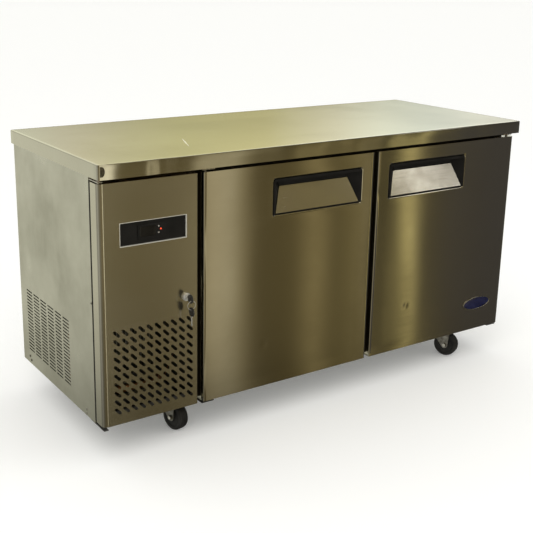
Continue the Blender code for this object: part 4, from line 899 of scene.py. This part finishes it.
def two_part_key(name, body, is_blade):
    """A key with its CAD node's shape: the grip is black plastic and whatever is_blade picks is plated."""
    piece = refined(name + "_detailed", name, body, key_black, 0.00025)
    piece.data.materials.append(chrome)
    for face in piece.data.polygons:
        face.material_index = int(is_blade(face.center))


two_part_key("key", "lock_key", lambda at: at.y > -0.2942)
two_part_key("spare_key", "ring", lambda at: at.z < 0.3790)
low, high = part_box("key_ring")
turn = np.linspace(0, 4 * np.pi, 97)
hoop = (high.x - low.x) / 2 - 0.0007
split = np.column_stack([(low.x + high.x) / 2 + hoop * np.cos(turn),
                         (low.y + high.y) / 2 + 0.0006 * (turn / (2 * np.pi) - 1),
                         (low.z + high.z) / 2 + hoop * np.sin(turn)])
formed("split_ring", [tube_rings(split, 0.00055, 8)], "ring", chrome, ["key_ring"])


# ---- The hinges -----------------------------------------------------------------------------
# Bent steel plates above and below each door, plated above and painted black below, with riveted pins.
for hinge in ("left_door", "right_door", "cover"):
    for end, slot, coat in (("top", "zinc", zinc), ("bottom", "black_steel", black_paint)):
        node = f"{hinge}_{end}_hinge"
        refined(node + "_plate", node, "cabinet", coat, 0.0004)
screws("cover_pin_head", [(-0.738, -0.2725, 0.7642)], (0, 0, 1), 0.0052, 0.0022, "cabinet", chrome)


# ---- The castors ----------------------------------------------------------------------------
# Pressed zinc forks that swivel on ball races under the base, each with a black rubber wheel on a bolt.
tyre_rubber = finish_of("tyre_rubber", (0.008, 0.008, 0.008), (0.030, 0.028, 0.025), (0.55, 0.80), patch=24,
                        grain=(260, 260, 260), depth=0.0002, specks=420)
fork_zinc = finish_of("fork_plate", (0.50, 0.49, 0.46), (0.20, 0.19, 0.17), (0.28, 0.50), 1.0, patch=70,
                      grain=(400, 400, 400), depth=0.00005)
BOLT_REACH = 0.0242
# Half of the wheel's section: the radius and the place along the axle, from the hub's edge over the tyre
# to the middle of the tread. The other half mirrors it.
SECTION = np.array([
    [0.0046, 0.0150], [0.0100, 0.0150], [0.0112, 0.0142], [0.0118, 0.0118], [0.0150, 0.0112],
    [0.0265, 0.0112], [0.0285, 0.0120], [0.0300, 0.0143], [0.0330, 0.0150], [0.0365, 0.0146],
    [0.0388, 0.0128], [0.0397, 0.0100], [0.0400, 0.0060], [0.0400, 0.0030], [0.0397, 0.0024],
    [0.0400, 0.0018],
])
SECTION = np.concatenate([SECTION, SECTION[::-1] * [1, -1]])


def wheel_rings(centre, turned_by):
    """A wheel: its section carried once round the axle, which lies level and turned by an angle."""
    spin = np.linspace(0, 2 * np.pi, 72, endpoint=False)
    radius, side = SECTION[:, 0], SECTION[:, 1]
    axle = np.array([math.cos(turned_by), math.sin(turned_by), 0.0])
    ahead = np.array([-math.sin(turned_by), math.cos(turned_by), 0.0])
    out = np.cos(spin)[:, None] * ahead + np.sin(spin)[:, None] * np.array([0, 0, 1.0])
    return np.array(centre) + radius[None, :, None] * out[:, None] + side[None, :, None] * axle


for joint in frame["joints"]:
    if not joint["name"].endswith("_roll"):
        continue
    castor = joint["name"][:-len("_roll")]
    axis = joint["axis"]
    turned_by = math.atan2(axis[1], axis[0])
    low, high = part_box(castor + "_wheel")
    centre = (low + high) / 2
    wheel = wheel_rings(centre, turned_by)
    formed(castor + "_tyre", [wheel], castor + "_wheel_body", tyre_rubber, [castor + "_wheel"],
           sharp=38, joined=True)
    refined(castor + "_fork_pressing", castor + "_fork", castor + "_swivel_body", fork_zinc, 0.0005)
    # The axle bolt's end, on both sides of the fork, in the pale colour of a painted highlight.
    axle = Vector((math.cos(turned_by), math.sin(turned_by), 0))
    for side, end in ((-1, "left"), (1, "right")):
        spot = centre + axle * side * BOLT_REACH
        screws(f"{castor}_bolt_end_{end}", [tuple(spot)], tuple(axle * side), 0.0052, 0.0016,
               castor + "_swivel_body", pale_highlight)
